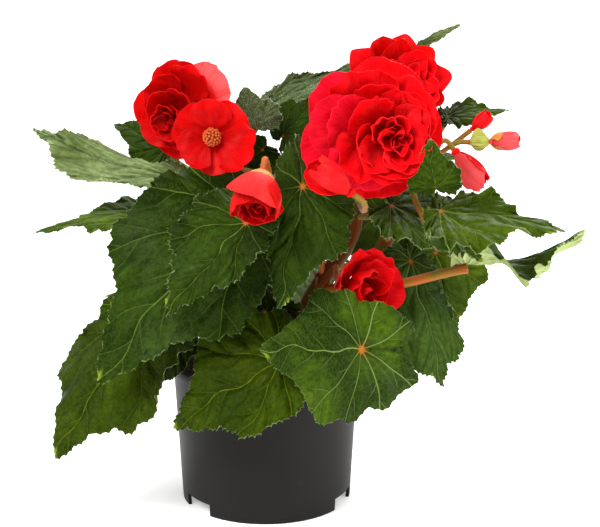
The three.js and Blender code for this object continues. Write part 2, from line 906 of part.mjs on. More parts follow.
// Each bloom's stem and the share of its length at which the stalk leaves it, any points that the
// stalk passes, the root of its petals, the way that it faces, the length of its outer petals, and
// its form. Turn is the petals' turn round the axis in degrees.
const BLOOMS = [
  {
    name: "bloom_front",
    stem: "stem_centre",
    from: 0.97,
    form: "double",
    root: [67, -70, 273],
    axis: [0.12, -0.98, 0.1],
    length: 43,
  },
  {
    name: "bloom_top",
    stem: "stem_back",
    from: 0.97,
    form: "double",
    root: [88, 12, 287],
    axis: [0.25, -0.85, 0.45],
    length: 30,
    turn: 20,
  },
  {
    name: "bloom_left",
    stem: "stem_left",
    from: 0.97,
    form: "double",
    root: [-49, -20, 278],
    axis: [-0.25, -0.92, 0.1],
    length: 33,
    turn: 24,
  },
  {
    name: "bloom_single",
    stem: "stem_left",
    from: 0.97,
    via: [[-32, -12, 246], [-23, -42, 254]],
    form: "single",
    root: [-31, -66, 268],
    axis: [-0.1, -0.95, 0.1],
    length: 26,
    turn: 30,
  },
  {
    name: "bloom_nodding",
    stem: "stem_left",
    from: 0.97,
    via: [[-16, -20, 236], [2, -56, 241], [5, -84, 254]],
    form: "cup",
    root: [0, -106, 252],
    axis: [-0.15, -0.7, -0.68],
    length: 35,
  },
  {
    name: "bud_opening",
    stem: "stem_centre",
    from: 0.97,
    via: [[64, -68, 220]],
    form: "bud",
    root: [54, -100, 240],
    axis: [-0.75, -0.25, 0.6],
    length: 36,
  },
  {
    name: "bloom_inner",
    stem: "stem_centre",
    from: 0.7,
    form: "loose",
    root: [70, -46, 163],
    axis: [-0.2, -0.75, 0.62],
    length: 27,
  },
  {
    name: "bloom_inner_small",
    stem: "stem_right",
    from: 0.8,
    form: "closed",
    root: [84, -24, 196],
    axis: [0.2, -0.6, 0.75],
    length: 20,
  },
  {
    name: "bud_right_outer",
    stem: "stem_right",
    from: 0.97,
    form: "closed",
    root: [152, 0, 251],
    axis: [1, -0.1, 0.05],
    length: 21,
    ovary: true,
  },
  {
    name: "bud_right_inner",
    stem: "stem_right",
    from: 0.97,
    form: "closed",
    root: [140, 14, 257],
    axis: [0.75, -0.1, 0.65],
    length: 16.5,
  },
  {
    name: "bloom_right",
    stem: "stem_right",
    from: 0.97,
    form: "bud",
    root: [128, -4, 244],
    axis: [0.65, -0.3, -0.7],
    length: 30,
  },
  {
    name: "bloom_back",
    stem: "stem_back",
    from: 0.97,
    form: "loose",
    root: [34, 76, 258],
    axis: [0.2, 0.85, 0.5],
    length: 32,
  },
];

const GREEN = { color: 0x3f6b2c, roughness: 0.5, metalness: 0 };
const STEM_COLOUR = { color: 0x8a6a3c, roughness: 0.55, metalness: 0 };
const CORAL = { color: 0xf0613e, roughness: 0.55, metalness: 0 };
const OVARY_GREEN = { color: 0x8aa04a, roughness: 0.5, metalness: 0 };
const YELLOW = { color: 0xe08a1c, roughness: 0.6, metalness: 0 };
const CHARCOAL = { color: 0x1d1e20, roughness: 0.45, metalness: 0 };
const EARTH = { color: 0x2c2119, roughness: 0.95, metalness: 0 };

const plant = new THREE.Group();

function add(name, geometry, finish) {
  const mesh = new THREE.Mesh(geometry, new THREE.MeshStandardMaterial(finish));
  mesh.name = name;
  plant.add(mesh);
  return mesh;
}

// Adds a piece of a bloom, with its own +Z turned to the bloom's axis and the petals' roots in place.
function addToBloom(bloom, name, geometry, finish) {
  const mesh = add(name, geometry, finish);
  mesh.position.copy(point(bloom.root));
  mesh.quaternion.setFromUnitVectors(new THREE.Vector3(0, 0, 1), point(bloom.axis).normalize());
}

// A leaf's or flower's stalk, from the middle of its stem to the two points of its end. Without any
// point to pass it bends once, halfway.
function stalkGeometry(start, via, end, radius) {
  const curve = new THREE.CatmullRomCurve3([start, ...end], false, "centripetal");
  const bends = via ? via.map(point) : [curve.getPoint(0.25)];
  return tube([start, ...bends, ...end], radius, 5);
}

function stemGeometry(stem) {
  const route = stem.route.map(point);
  const curve = new THREE.CatmullRomCurve3(route, false, "centripetal");
  const ours = (thing) => thing.stem === stem.name;
  const stalk = (thing, end, radius) =>
    stalkGeometry(curve.getPointAt(thing.from), thing.via, end, radius);
  return joined([
    tube(route, stem.radius, 8),
    ...LEAVES.filter(ours).map((leaf) => stalk(leaf, leafStalkEnd(leaf), LEAF_STALK_RADIUS)),
    ...BLOOMS.filter(ours).map((bloom) => stalk(bloom, flowerStalkEnd(bloom), FLOWER_STALK_RADIUS)),
  ]);
}

add("pot", potGeometry(), CHARCOAL);
add("soil", soilGeometry(), EARTH);
for (const stem of STEMS) add(stem.name, stemGeometry(stem), STEM_COLOUR);
for (const leaf of LEAVES) add(leaf.name, leafGeometry(leaf), GREEN);
for (const bloom of BLOOMS) {
  addToBloom(bloom, bloom.name, bloomGeometry(bloom), CORAL);
  if (bloom.ovary) addToBloom(bloom, bloom.name + "_ovary", ovaryGeometry(bloom), OVARY_GREEN);
  if (bloom.form === "single") {
    addToBloom(bloom, bloom.name + "_stamens", stamensGeometry(bloom), YELLOW);
  }
}

export default plant;
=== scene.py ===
"""Dresses the potted begonia: leaves, blooms, stems, soil and pot, on a white studio floor.

Tables and sizes are in millimetres, as the plant was drawn, and are scaled to metres when a mesh is made.
The plant's front is -Y, and +Z is up.
"""
import logging
import math
import random
from dataclasses import dataclass
from enum import Enum
from typing import Callable, Optional, Sequence, Union

import bmesh
import bpy
from mathutils import Matrix, Quaternion, Vector, noise


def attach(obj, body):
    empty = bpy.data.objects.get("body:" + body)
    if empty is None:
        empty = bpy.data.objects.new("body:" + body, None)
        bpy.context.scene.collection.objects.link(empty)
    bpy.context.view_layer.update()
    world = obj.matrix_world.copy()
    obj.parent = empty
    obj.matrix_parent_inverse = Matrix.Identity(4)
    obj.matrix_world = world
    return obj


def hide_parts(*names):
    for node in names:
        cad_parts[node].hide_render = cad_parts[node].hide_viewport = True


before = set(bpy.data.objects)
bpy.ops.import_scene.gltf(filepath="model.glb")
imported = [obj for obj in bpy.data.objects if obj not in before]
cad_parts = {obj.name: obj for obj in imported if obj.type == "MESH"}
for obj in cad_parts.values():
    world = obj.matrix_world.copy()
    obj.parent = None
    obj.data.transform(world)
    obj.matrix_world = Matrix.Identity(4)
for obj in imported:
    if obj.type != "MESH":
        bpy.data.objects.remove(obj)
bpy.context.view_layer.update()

LOG = logging.getLogger("begonia")

MM = 0.001
GOLDEN_ANGLE = math.pi * (3 - math.sqrt(5))

Place = Callable[[float, float], Vector]
Pair = tuple[float, float]
Triple = tuple[float, float, float]
Hair = tuple[Vector, Vector, float]
Object = bpy.types.Object
Material = bpy.types.Material
Socket = bpy.types.NodeSocket
Value = Union[Socket, float, Triple]


# Small sums.


def mix(low: float, high: float, share: float) -> float:
    """The value at a share of the way from low to high."""
    return low + (high - low) * share


def smooth(value: float, low: float, high: float) -> float:
    """A soft step from 0 at low to 1 at high."""
    share = min(max((value - low) / (high - low), 0.0), 1.0)
    return share * share * (3 - 2 * share)


def between(table: Sequence[Pair], at: float) -> float:
    """The value that a table of pairs gives at a place, in straight lines between its rows.

    Args:
        table: the pairs of place and value, in order.
        at: the place.

    Returns:
        The value.
    """
    for (start, first), (end, second) in zip(table, table[1:]):
        if at <= end:
            return mix(first, second, (at - start) / (end - start))
    return table[-1][1]


def rounded(table: Sequence[Pair], at: float) -> float:
    """The value that a table of pairs gives at a place, on a smooth curve through its rows.

    Args:
        table: the pairs of place and value, in order.
        at: the place.

    Returns:
        The value.
    """
    last = len(table) - 1
    i = next((k for k in range(1, last) if at <= table[k][0]), last)
    (start, first), (end, second) = table[i - 1], table[i]
    before, after = table[max(i - 2, 0)], table[min(i + 1, last)]
    span = end - start
    leaving = (second - before[1]) / (end - before[0]) * span
    arriving = (after[1] - first) / (after[0] - start) * span
    share = (at - start) / span
    square, cube = share**2, share**3
    held = first * (2 * cube - 3 * square + 1) + second * (3 * square - 2 * cube)
    return held + leaving * (cube - 2 * square + share) + arriving * (cube - square)


def knot_times(points: Sequence[Vector]) -> list[float]:
    """The times at which a centripetal curve passes its points.

    Args:
        points: the points.

    Returns:
        A time for each point, from 0 on.
    """
    times = [0.0]
    for start, end in zip(points, points[1:]):
        times.append(times[-1] + math.sqrt((end - start).length))
    return times


def smooth_path(points: Sequence[Vector], steps: int) -> list[Vector]:
    """A smooth curve through points.

    Args:
        points: the points that the curve passes, at least two.
        steps: how many stretches each span between two points gets.

    Returns:
        The points of the curve, with both ends.
    """
    ends = [2 * points[0] - points[1], *points, 2 * points[-1] - points[-2]]
    times = knot_times(ends)
    path = []
    for i in range(1, len(ends) - 2):
        corners = list(zip(times[i - 1 : i + 3], ends[i - 1 : i + 3]))
        for step in range(steps):
            at = mix(times[i], times[i + 1], step / steps)
            level = corners
            while len(level) > 1:
                reach = len(corners) - len(level) + 1
                level = [
                    (corners[k][0], blend_knots(corners, level, k, reach, at)) for k in range(len(level) - 1)
                ]
            path.append(level[0][1])
    return [*path, points[-1].copy()]


def blend_knots(
    corners: Sequence[tuple[float, Vector]],
    level: Sequence[tuple[float, Vector]],
    k: int,
    reach: int,
    at: float,
) -> Vector:
    """One step of the pyramid that a centripetal curve is worked out with.

    Args:
        corners: the times and places of the four points round a span.
        level: the pyramid's last row.
        k: which pair of that row is blended.
        reach: how many knots the new row's entries span.
        at: the time on the curve.

    Returns:
        The blended place.
    """
    first, last = (1, 2) if reach == 3 else (k, k + reach)
    start, end = corners[first][0], corners[last][0]
    return level[k][1].lerp(level[k + 1][1], (at - start) / (end - start))


# Meshes.

GRID_HALF = 0.5
WELD = 1e-7
HAIR_WELD = 1e-8
HAIR_SIDES = 3
SHORTEST_STEP = 1e-6
GRAIN_DETAIL = 900
GRAIN_UNEVEN = 0.35
GRAIN_FLATNESS = 0.75


class SheetMesh:
    """A mesh that collects bent sheets, each made from a grid of its own.

    Two maps follow the surface: flat, the place on the sheet laid flat, and edge, the share of the way from
    root to margin and the share across.
    """

    def __init__(self) -> None:
        """Starts the mesh with its two maps."""
        self.bm = bmesh.new()
        self.flat = self.bm.loops.layers.uv.new("flat")
        self.edge = self.bm.loops.layers.uv.new("edge")

    def add(
        self,
        columns: int,
        rings: int,
        place: Place,
        flat: Optional[Callable[[float, float], Pair]] = None,
        slot: int = 0,
    ) -> None:
        """Adds a sheet, with its upper face where the share across runs anticlockwise.

        Args:
            columns: how many faces it has across.
            rings: how many it has from its root to its margin.
            place: gives a corner's place from its share across and its share out.
            flat: gives the flat map's value from the same two shares.
            slot: the material slot of its faces.
        """
        made = bmesh.ops.create_grid(self.bm, x_segments=columns, y_segments=rings, size=GRID_HALF)["verts"]
        shares = {vert: (vert.co.x + GRID_HALF, GRID_HALF - vert.co.y) for vert in made}
        for face in {face for vert in made for face in vert.link_faces}:
            face.material_index = slot
            face.smooth = True
            for loop in face.loops:
                across, out = shares[loop.vert]
                loop[self.edge].uv = (out, across)
                loop[self.flat].uv = flat(across, out) if flat else (out, across)
        for vert, (across, out) in shares.items():
            vert.co = place(across, out) * MM
        bmesh.ops.remove_doubles(self.bm, verts=made, dist=WELD)

    def tube(self, path: Sequence[Vector], radii: Sequence[float], sides: int, slot: int = 0) -> None:
        """Adds a round tube along a path. It is closed where its first and last radius are nil.

        Args:
            path: its middle line.
            radii: its radius at each point of the path.
            sides: how many faces it has round.
            slot: the material slot of its faces.
        """
        frames = turning_frames(path)
        last = len(path) - 1

        def place(across: float, out: float) -> Vector:
            """A corner of the tube.

            Args:
                across: the share of the way round.
                out: the share of the way from the path's end to its start.

            Returns:
                Its place.
            """
            i = round((1 - out) * last)
            side, up = frames[i]
            angle = 2 * math.pi * across
            return path[i] + (side * math.cos(angle) + up * math.sin(angle)) * radii[i]

        self.add(sides, last, place, slot=slot)

    def spikes(self, hairs: Sequence[Hair], slot: int = 0) -> None:
        """Adds three-sided hairs, each tapering to a point.

        Args:
            hairs: the root, the tip and the radius of each.
            slot: the material slot of their faces.
        """
        pitch = HAIR_SIDES + 1
        columns = pitch * len(hairs)
        made = bmesh.ops.create_grid(self.bm, x_segments=columns, y_segments=1, size=GRID_HALF)["verts"]
        faces = {face for vert in made for face in vert.link_faces}
        spare = []
        for face in faces:
            column = int((face.calc_center_median().x + GRID_HALF) * columns)
            if column % pitch == HAIR_SIDES:
                spare.append(face)
        for face in faces:
            face.material_index = slot
            face.smooth = True
        for vert in made:
            column = min(round((vert.co.x + GRID_HALF) * columns), columns - 1)
            root, tip, radius = hairs[column // pitch]
            side = (tip - root).orthogonal().normalized()
            way = (tip - root).normalized()
            turned = Quaternion(way, 2 * math.pi * (column % pitch) / HAIR_SIDES) @ side
            vert.co = (tip if vert.co.y > 0 else root + turned * radius) * MM
        bmesh.ops.delete(self.bm, geom=spare, context="FACES")
        kept = [vert for vert in made if vert.is_valid]
        bmesh.ops.remove_doubles(self.bm, verts=kept, dist=HAIR_WELD)

    def lumps(self, centres: Sequence[tuple[Vector, float]], slot: int = 0) -> None:
        """Adds small uneven grains.

        Args:
            centres: the middle and the radius of each.
            slot: the material slot of their faces.
        """
        for centre, radius in centres:
            made = bmesh.ops.create_icosphere(self.bm, subdivisions=1, radius=radius * MM)["verts"]
            for vert in made:
                vert.co *= 1 + GRAIN_UNEVEN * noise.noise(vert.co * GRAIN_DETAIL + centre)
                vert.co.z *= GRAIN_FLATNESS
                vert.co += centre * MM
            for face in {face for vert in made for face in vert.link_faces}:
                face.material_index = slot
                face.smooth = True

    def mark_margins(self) -> None:
        """Makes the open edges of the sheets crisp, so that a wall's rim doesn't round their shading."""
        for edge in self.bm.edges:
            edge.smooth = not edge.is_boundary


def turning_frames(path: Sequence[Vector]) -> list[tuple[Vector, Vector]]:
    """Two directions square to a path at each of its points, which don't twist along it.

    Args:
        path: the points of the path.

    Returns:
        The two directions for each point.
    """
    frames = []
    side = None
    for i, point in enumerate(path):
        ahead = path[min(i + 1, len(path) - 1)] - path[max(i - 1, 0)]
        if ahead.length < SHORTEST_STEP:
            ahead = path[-1] - path[0]
        way = ahead.normalized()
        side = way.orthogonal() if side is None else side - way * side.dot(way)
        side.normalize()
        frames.append((side.copy(), way.cross(side)))
    return frames


class Piece:
    """A finished piece of the plant, ready to be shown."""

    def __init__(self, name: str, bm: bmesh.types.BMesh, finishes: Sequence[Material]) -> None:
        """Turns the mesh being worked on into an object with its materials.

        Args:
            name: the piece's name.
            bm: the mesh, which is freed.
            finishes: its materials, by slot.
        """
        mesh = bpy.data.meshes.new(name)
        bm.to_mesh(mesh)
        bm.free()
        for finish in finishes:
            mesh.materials.append(finish)
        self.obj = bpy.data.objects.new(name, mesh)
        bpy.context.scene.collection.objects.link(self.obj)

    def thicken(self, thickness: float) -> "Piece":
        """Gives its sheets two faces and a rim, with the next two materials on the back and the rim.

        Args:
            thickness: the wall's thickness in millimetres.

        Returns:
            The piece itself.
        """
        wall = self.obj.modifiers.new("wall", "SOLIDIFY")
        wall.thickness = thickness * MM
        wall.offset = 0
        wall.material_offset = 1
        wall.material_offset_rim = 2
        return self

    def place(self, slot: str, *nodes: str) -> Object:
        """Puts it on the plant.

        Args:
            slot: not used.
            nodes: the solids that it stands for.

        Returns:
            Its object.
        """
        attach(self.obj, "root")
        if nodes:
            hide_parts(*nodes)
        return self.obj


# Finishes.


class Shader:
    """The nodes of one material, with a short method for each kind."""

    def __init__(self, name: str) -> None:
        """Starts a material with a plain surface.

        Args:
            name: the material's name.
        """
        self.material = bpy.data.materials.new(name)
        self.material.use_nodes = True
        self.tree = self.material.node_tree
        self.tree.nodes.clear()
        self.surface = self.tree.nodes.new("ShaderNodeBsdfPrincipled")
        output = self.tree.nodes.new("ShaderNodeOutputMaterial")
        self.tree.links.new(self.surface.outputs[0], output.inputs[0])

    def feed(self, socket: Socket, value: Value) -> None:
        """Links a socket to another, or sets it to a number or a colour.

        Args:
            socket: the input.
            value: another node's output, a number or a colour.
        """
        if isinstance(value, Socket):
            self.tree.links.new(value, socket)
        elif isinstance(value, tuple) and len(socket.default_value) == 4:
            socket.default_value = (*value[:3], 1.0)
        else:
            socket.default_value = value

    def sum(self, operation: str, *values: Value) -> Socket:
        """The result of one Math node.

        Args:
            operation: what the node does.
            values: what it does it to, up to three values.

        Returns:
            The result.
        """
        node = self.tree.nodes.new("ShaderNodeMath")
        node.operation = operation
        for socket, value in zip(node.inputs, values):
            self.feed(socket, value)
        return node.outputs[0]

    def times(self, first: Value, second: Value) -> Socket:
        """The product of two values."""
        return self.sum("MULTIPLY", first, second)

    def line(self, value: Value, slope: Value, base: Value) -> Socket:
        """A value times a slope, plus a base."""
        return self.sum("MULTIPLY_ADD", value, slope, base)

    def map(self, name: str) -> tuple[Socket, Socket]:
        """The two values of one of a sheet's maps.

        Args:
            name: the map's name.

        Returns:
            The two values.
        """
        node = self.tree.nodes.new("ShaderNodeUVMap")
        node.uv_map = name
        split = self.tree.nodes.new("ShaderNodeSeparateXYZ")
        self.tree.links.new(node.outputs[0], split.inputs[0])
        return split.outputs[0], split.outputs[1]

    def spot(self, across: Value, along: Value) -> Socket:
        """Two values put together as a place.

        Args:
            across: the first value.
            along: the second value.

        Returns:
            The place.
        """
        node = self.tree.nodes.new("ShaderNodeCombineXYZ")
        for socket, value in zip(node.inputs, (across, along)):
            self.feed(socket, value)
        return node.outputs[0]

    def place(self) -> Socket:
        """The place on the plant, in metres."""
        return self.tree.nodes.new("ShaderNodeTexCoord").outputs["Object"]

    def noise(self, where: Socket, scale: float, detail: float = 3.0) -> Socket:
        """A cloudy value from 0 to 1.

        Args:
            where: the place.
            scale: how many clouds there are to a metre, or to 1 of a map.
            detail: how finely their edges are broken.

        Returns:
            The value.
        """
        node = self.tree.nodes.new("ShaderNodeTexNoise")
        node.inputs["Scale"].default_value = scale
        node.inputs["Detail"].default_value = detail
        self.tree.links.new(where, node.inputs["Vector"])
        return node.outputs["Fac"]

    def cells(self, where: Socket, scale: float) -> Socket:
        """The distance to the nearest border between small cells.

        Args:
            where: the place.
            scale: how many cells there are to a metre, or to 1 of a map.

        Returns:
            The distance.
        """
        node = self.tree.nodes.new("ShaderNodeTexVoronoi")
        node.feature = "DISTANCE_TO_EDGE"
        node.inputs["Scale"].default_value = scale
        self.tree.links.new(where, node.inputs["Vector"])
        return node.outputs["Distance"]

    def step(self, value: Value, low: float, high: float) -> Socket:
        """A soft step from 0 at low to 1 at high.

        Args:
            value: the value.
            low: where the step starts.
            high: where it ends, which may be below low.

        Returns:
            The step's value.
        """
        node = self.tree.nodes.new("ShaderNodeMapRange")
        node.interpolation_type = "SMOOTHSTEP"
        for name, number in (("Value", value), ("From Min", low), ("From Max", high)):
            self.feed(node.inputs[name], number)
        return node.outputs[0]

    def blend(self, share: Value, first: Value, second: Value) -> Socket:
        """A colour between two others.

        Args:
            share: how much of the second there is.
            first: the first colour.
            second: the second colour.

        Returns:
            The colour.
        """
        node = self.tree.nodes.new("ShaderNodeMix")
        node.data_type = "RGBA"
        sockets = [socket for socket in node.inputs if socket.enabled]
        for socket, value in zip(sockets, (share, first, second)):
            self.feed(socket, value)
        return next(socket for socket in node.outputs if socket.enabled)

    def relief(self, height: Socket, depth: float, strength: float = 1.0) -> None:
        """Gives the surface a fine relief.

        Args:
            height: the relief, from 0 to 1.
            depth: its depth in millimetres.
            strength: how strongly it shows.
        """
        node = self.tree.nodes.new("ShaderNodeBump")
        node.inputs["Strength"].default_value = strength
        node.inputs["Distance"].default_value = depth * MM
        self.tree.links.new(height, node.inputs["Height"])
        self.tree.links.new(node.outputs[0], self.surface.inputs["Normal"])

    def set(self, **values: Value) -> None:
        """Sets the surface's own inputs.

        Args:
            values: the value of each, by its name in small letters and underscores.
        """
        for name, value in values.items():
            title = name.replace("_", " ").title().replace("Ior", "IOR")
            self.feed(self.surface.inputs[title], value)


@dataclass(frozen=True)
class Clouds:
    """Soft patches: a cloudy value that steps from 0 at low to 1 at high."""

    scale: float
    low: float
    high: float
    detail: float = 3.0

    def share(self, shader: Shader, where: Socket) -> Socket:
        """How much of the patches a place has."""
        return shader.step(shader.noise(where, self.scale, self.detail), self.low, self.high)


@dataclass(frozen=True)
class VeinPlan:
    """How a leaf's veins run over its flat blade, whose length is 1.

    Main veins run from the hub to the large teeth and bend towards the tip. Side veins leave them by turns
    to the left and the right, and end before they meet those of the next main vein. The mesh's relief and
    the material both follow this plan.
    """

    spokes: int = 9
    bend: float = 0.3
    pitch: float = 0.19
    slant: float = 1.15
    main_width: float = 0.0062
    side_width: float = 0.0032

    @property
    def spacing(self) -> float:
        """The angle between two main veins at the hub."""
        return 2 * math.pi / self.spokes

    @property
    def squareness(self) -> float:
        """The factor from a distance along a main vein to one square to a side vein."""
        return self.pitch / math.hypot(1, self.slant)

    def distances(self, x: float, y: float) -> Triple:
        """Where a place on the flat blade lies among the veins.

        Args:
            x: how far it is from the hub towards the tip.
            y: how far it is to the left.

        Returns:
            The distances to the nearest main vein and the nearest side vein, and how far along its way to
            the next main vein the place is, from 0 to 0.5.
        """
        radius = math.hypot(x, y)
        turned = math.atan2(y, x) * (1 + self.bend * radius)
        off = math.remainder(turned, self.spacing)
        along, aside = radius * math.cos(off), radius * math.sin(off)
        row = (along - self.slant * abs(aside)) / self.pitch + (0.5 if aside > 0 else 0)
        return abs(aside), abs(row - round(row)) * self.squareness, abs(off) / self.spacing

    def nodes(self, shader: Shader) -> tuple[Socket, ...]:
        """The same three values in a material, and two more.

        Args:
            shader: the material, whose flat map gives the place on the blade.

        Returns:
            The three values, the distance from the hub, and 1 near the midrib and 0 elsewhere.
        """
        x, y = shader.map("flat")
        squares = shader.sum("ADD", shader.times(x, x), shader.times(y, y))
        radius = shader.sum("SQRT", squares)
        bent = shader.line(radius, self.bend, 1.0)
        angle = shader.times(shader.sum("ARCTAN2", y, x), bent)
        turned = shader.sum("DIVIDE", angle, self.spacing)
        part = shader.sum("SUBTRACT", turned, shader.sum("ROUND", turned))
        off = shader.times(part, self.spacing)
        along = shader.times(radius, shader.sum("COSINE", off))
        aside = shader.times(radius, shader.sum("SINE", off))
        left = shader.times(shader.sum("GREATER_THAN", aside, 0.0), 0.5)
        away = shader.sum("ABSOLUTE", aside)
        row = shader.sum("DIVIDE", shader.line(away, -self.slant, along), self.pitch)
        row = shader.sum("ADD", row, left)
        side = shader.sum("ABSOLUTE", shader.sum("SUBTRACT", row, shader.sum("ROUND", row)))
        middle = shader.sum("LESS_THAN", shader.sum("ABSOLUTE", turned), 0.5)
        side = shader.times(side, self.squareness)
        return away, side, shader.sum("ABSOLUTE", part), radius, middle


VEINS = VeinPlan()
GREEN_CLOUDS = Clouds(30.0, 0.34, 0.66)
# where the painted sheen lies on a leaf's upper face
PAINTED_SHEEN_CLOUDS = Clouds(19.0, 0.5, 0.72, 2.0)
MARGIN_DASHES = Clouds(420.0, 0.4, 0.65, 2.0)
RIM_PATCHES = Clouds(260.0, 0.4, 0.6)
NET_CELLS = 34.0
NET_WIDTH = 0.13
NET_SHARE = 0.14
VEIN_TAPER = 0.5
MIDRIB_GAIN = 0.3
MAIN_CORE = 0.25
SIDE_CORE = 0.2
STRONGEST_VEIN = 0.95
SIDE_VEIN_SHARE = 0.5
VEIN_SHARE = 0.8
LEAF_GLOW: Triple = (0.3, 0.8, 0.1)
LEAF_GLOW_DEPTH = 0.002


@dataclass(frozen=True)
class LeafFinish:
    """The colours of one kind of leaf. Each gives an upper face, an underside and a margin."""

    name: str
    dark: Triple
    light: Triple
    vein: Triple
    under: Triple
    margin: Triple = (0.17, 0.24, 0.07)
    hub: Triple = (0.36, 0.12, 0.015)
    gland: Triple = (0.2, 0.27, 0.02)
    # painted sheen: a pale greyish green laid on in cloudy patches, standing in for the leaf's soft
    # reflection
    painted_sheen: Triple = (0.06, 0.095, 0.03)
    painted_sheen_share: float = 0.25
    roughness: float = 0.38
    shine: float = 0.1
    shine_tint: Triple = (0.8, 1.0, 0.35)
    under_roughness: float = 0.65
    under_shine: float = 0.12
    under_shine_tint: Triple = (0.8, 1.0, 0.4)

    def veins(self, shader: Shader, spread: float) -> tuple[Socket, ...]:
        """Draws the veins.

        Args:
            shader: the material that they are drawn in.
            spread: a factor on their width.

        Returns:
            How strongly the veins show, the distance from the hub, and how high the blade swells between
            the veins.
        """
        main, side, aside, radius, middle = VEINS.nodes(shader)
        width, fine = VEINS.main_width * spread, VEINS.side_width * spread
        thin = shader.line(shader.step(radius, 0.0, 0.9), -VEIN_TAPER, 1.0)
        thin = shader.line(middle, MIDRIB_GAIN, thin)
        strong = shader.step(shader.sum("DIVIDE", main, thin), width, width * MAIN_CORE)
        strong = shader.times(strong, shader.sum("MINIMUM", thin, STRONGEST_VEIN))
        faint = shader.times(shader.step(side, fine, fine * SIDE_CORE), shader.step(aside, 0.44, 0.2))
        faint = shader.times(faint, shader.step(radius, 0.1, 0.22))
        faint = shader.times(faint, SIDE_VEIN_SHARE)
        swell = shader.times(shader.step(side, 0.0, 0.045), shader.step(main, 0.0, 0.05))
        return shader.sum("MAXIMUM", strong, faint), radius, swell

    @property
    def deep(self) -> Triple:
        """The colour of the blade's dark spots, and of the painted shade in the grooves along its veins."""
        return tuple(0.4 * value for value in self.dark)

    def ground(self, shader: Shader, where: Socket, mottle: Socket) -> Socket:
        """The blade's own green, cloudy and mottled, with greyish patches of painted sheen.

        Args:
            shader: the material.
            where: the place on the plant.
            mottle: the fine mottling.

        Returns:
            The colour.
        """
        colour = shader.blend(GREEN_CLOUDS.share(shader, where), self.dark, self.light)
        # painted sheen: greyish patches mixed into the green in place of a reflection
        painted_sheen = shader.times(PAINTED_SHEEN_CLOUDS.share(shader, where), self.painted_sheen_share)
        colour = shader.blend(painted_sheen, colour, self.painted_sheen)
        return shader.blend(shader.times(shader.step(mottle, 0.6, 0.38), 0.4), colour, self.deep)

    def edged(self, shader: Shader, where: Socket, colour: Socket) -> Socket:
        """Adds the pale dashes of the margin and the glands on its teeth to a colour.

        Args:
            shader: the material.
            where: the place on the plant.
            colour: the colour inside the margin.

        Returns:
            The colour with them.
        """
        out, across = shader.map("edge")
        dashes = shader.times(MARGIN_DASHES.share(shader, where), 0.7)
        margin = shader.times(shader.step(out, 0.988, 0.999), dashes)
        colour = shader.blend(margin, colour, self.margin)
        tip = shader.step(shader.sum("ABSOLUTE", shader.sum("SUBTRACT", across, 0.5)), 0.011, 0.003)
        return shader.blend(shader.times(tip, shader.step(out, 0.95, 1.0)), colour, self.gland)

    def upper(self) -> Material:
        """The satin upper face, with its veins, its pale margin and the warm spot at its hub.

        Returns:
            The material.
        """
        shader = Shader(self.name + "_upper")
        lines, radius, swell = self.veins(shader, 1.0)
        where = shader.place()
        mottle = shader.noise(where, 300.0, 6.0)
        net = shader.step(shader.cells(shader.spot(*shader.map("flat")), NET_CELLS), 0.0, NET_WIDTH)
        colour = self.ground(shader, where, mottle)
        # painted shade: the blade darkens in the grooves along the veins, where the swell between them is
        # low
        colour = shader.blend(shader.line(swell, -0.3, 0.3), colour, self.deep)
        web = shader.times(shader.sum("SUBTRACT", 1.0, net), NET_SHARE)
        colour = shader.blend(web, colour, tuple(mix(a, b, 0.5) for a, b in zip(self.light, self.vein)))
        warmed = shader.blend(shader.step(radius, 0.08, 0.015), self.vein, self.hub)
        colour = shader.blend(shader.times(lines, VEIN_SHARE), colour, warmed)
        colour = self.edged(shader, where, colour)
        colour = shader.blend(shader.step(radius, 0.034, 0.014), colour, self.hub)
        grain = shader.line(lines, -0.4, shader.line(net, 0.25, mottle))
        shader.relief(shader.line(swell, 1.5, grain), 0.8, 0.85)
        shader.set(base_color=colour, roughness=shader.line(mottle, 0.2, self.roughness))
        shader.set(specular_ior_level=self.shine, specular_tint=self.shine_tint, sheen_weight=0.01)
        shader.set(sheen_roughness=0.4, sheen_tint=(0.75, 0.9, 0.5), subsurface_weight=0.03)
        shader.set(subsurface_radius=LEAF_GLOW, subsurface_scale=LEAF_GLOW_DEPTH)
        return shader.material

    def underside(self) -> Material:
        """The pale matt underside, on which the veins stand out.

        Returns:
            The material.
        """
        shader = Shader(self.name + "_under")
        lines, _, swell = self.veins(shader, 1.5)
        mottle = shader.noise(shader.place(), 320.0, 4.0)
        pale = tuple(min(1.35 * value, 1.0) for value in self.under)
        colour = shader.blend(mottle, tuple(0.7 * value for value in self.under), pale)
        colour = shader.blend(lines, colour, tuple(mix(a, b, 0.6) for a, b in zip(self.under, self.margin)))
        shader.relief(shader.sum("SUBTRACT", shader.sum("ADD", lines, mottle), swell), 0.6, 0.8)
        shader.set(base_color=colour, roughness=self.under_roughness, sheen_weight=0.03, sheen_roughness=0.5)
        shader.set(specular_ior_level=self.under_shine, specular_tint=self.under_shine_tint)
        shader.set(subsurface_weight=0.05)
        shader.set(subsurface_radius=LEAF_GLOW, subsurface_scale=LEAF_GLOW_DEPTH)
        return shader.material

    def rim(self) -> Material:
        """The thin margin, pale in places.

        Returns:
            The material.
        """
        shader = Shader(self.name + "_rim")
        patches = RIM_PATCHES.share(shader, shader.place())
        shader.set(base_color=shader.blend(patches, self.light, self.margin), roughness=0.6)
        shader.set(specular_ior_level=0.25)
        return shader.material


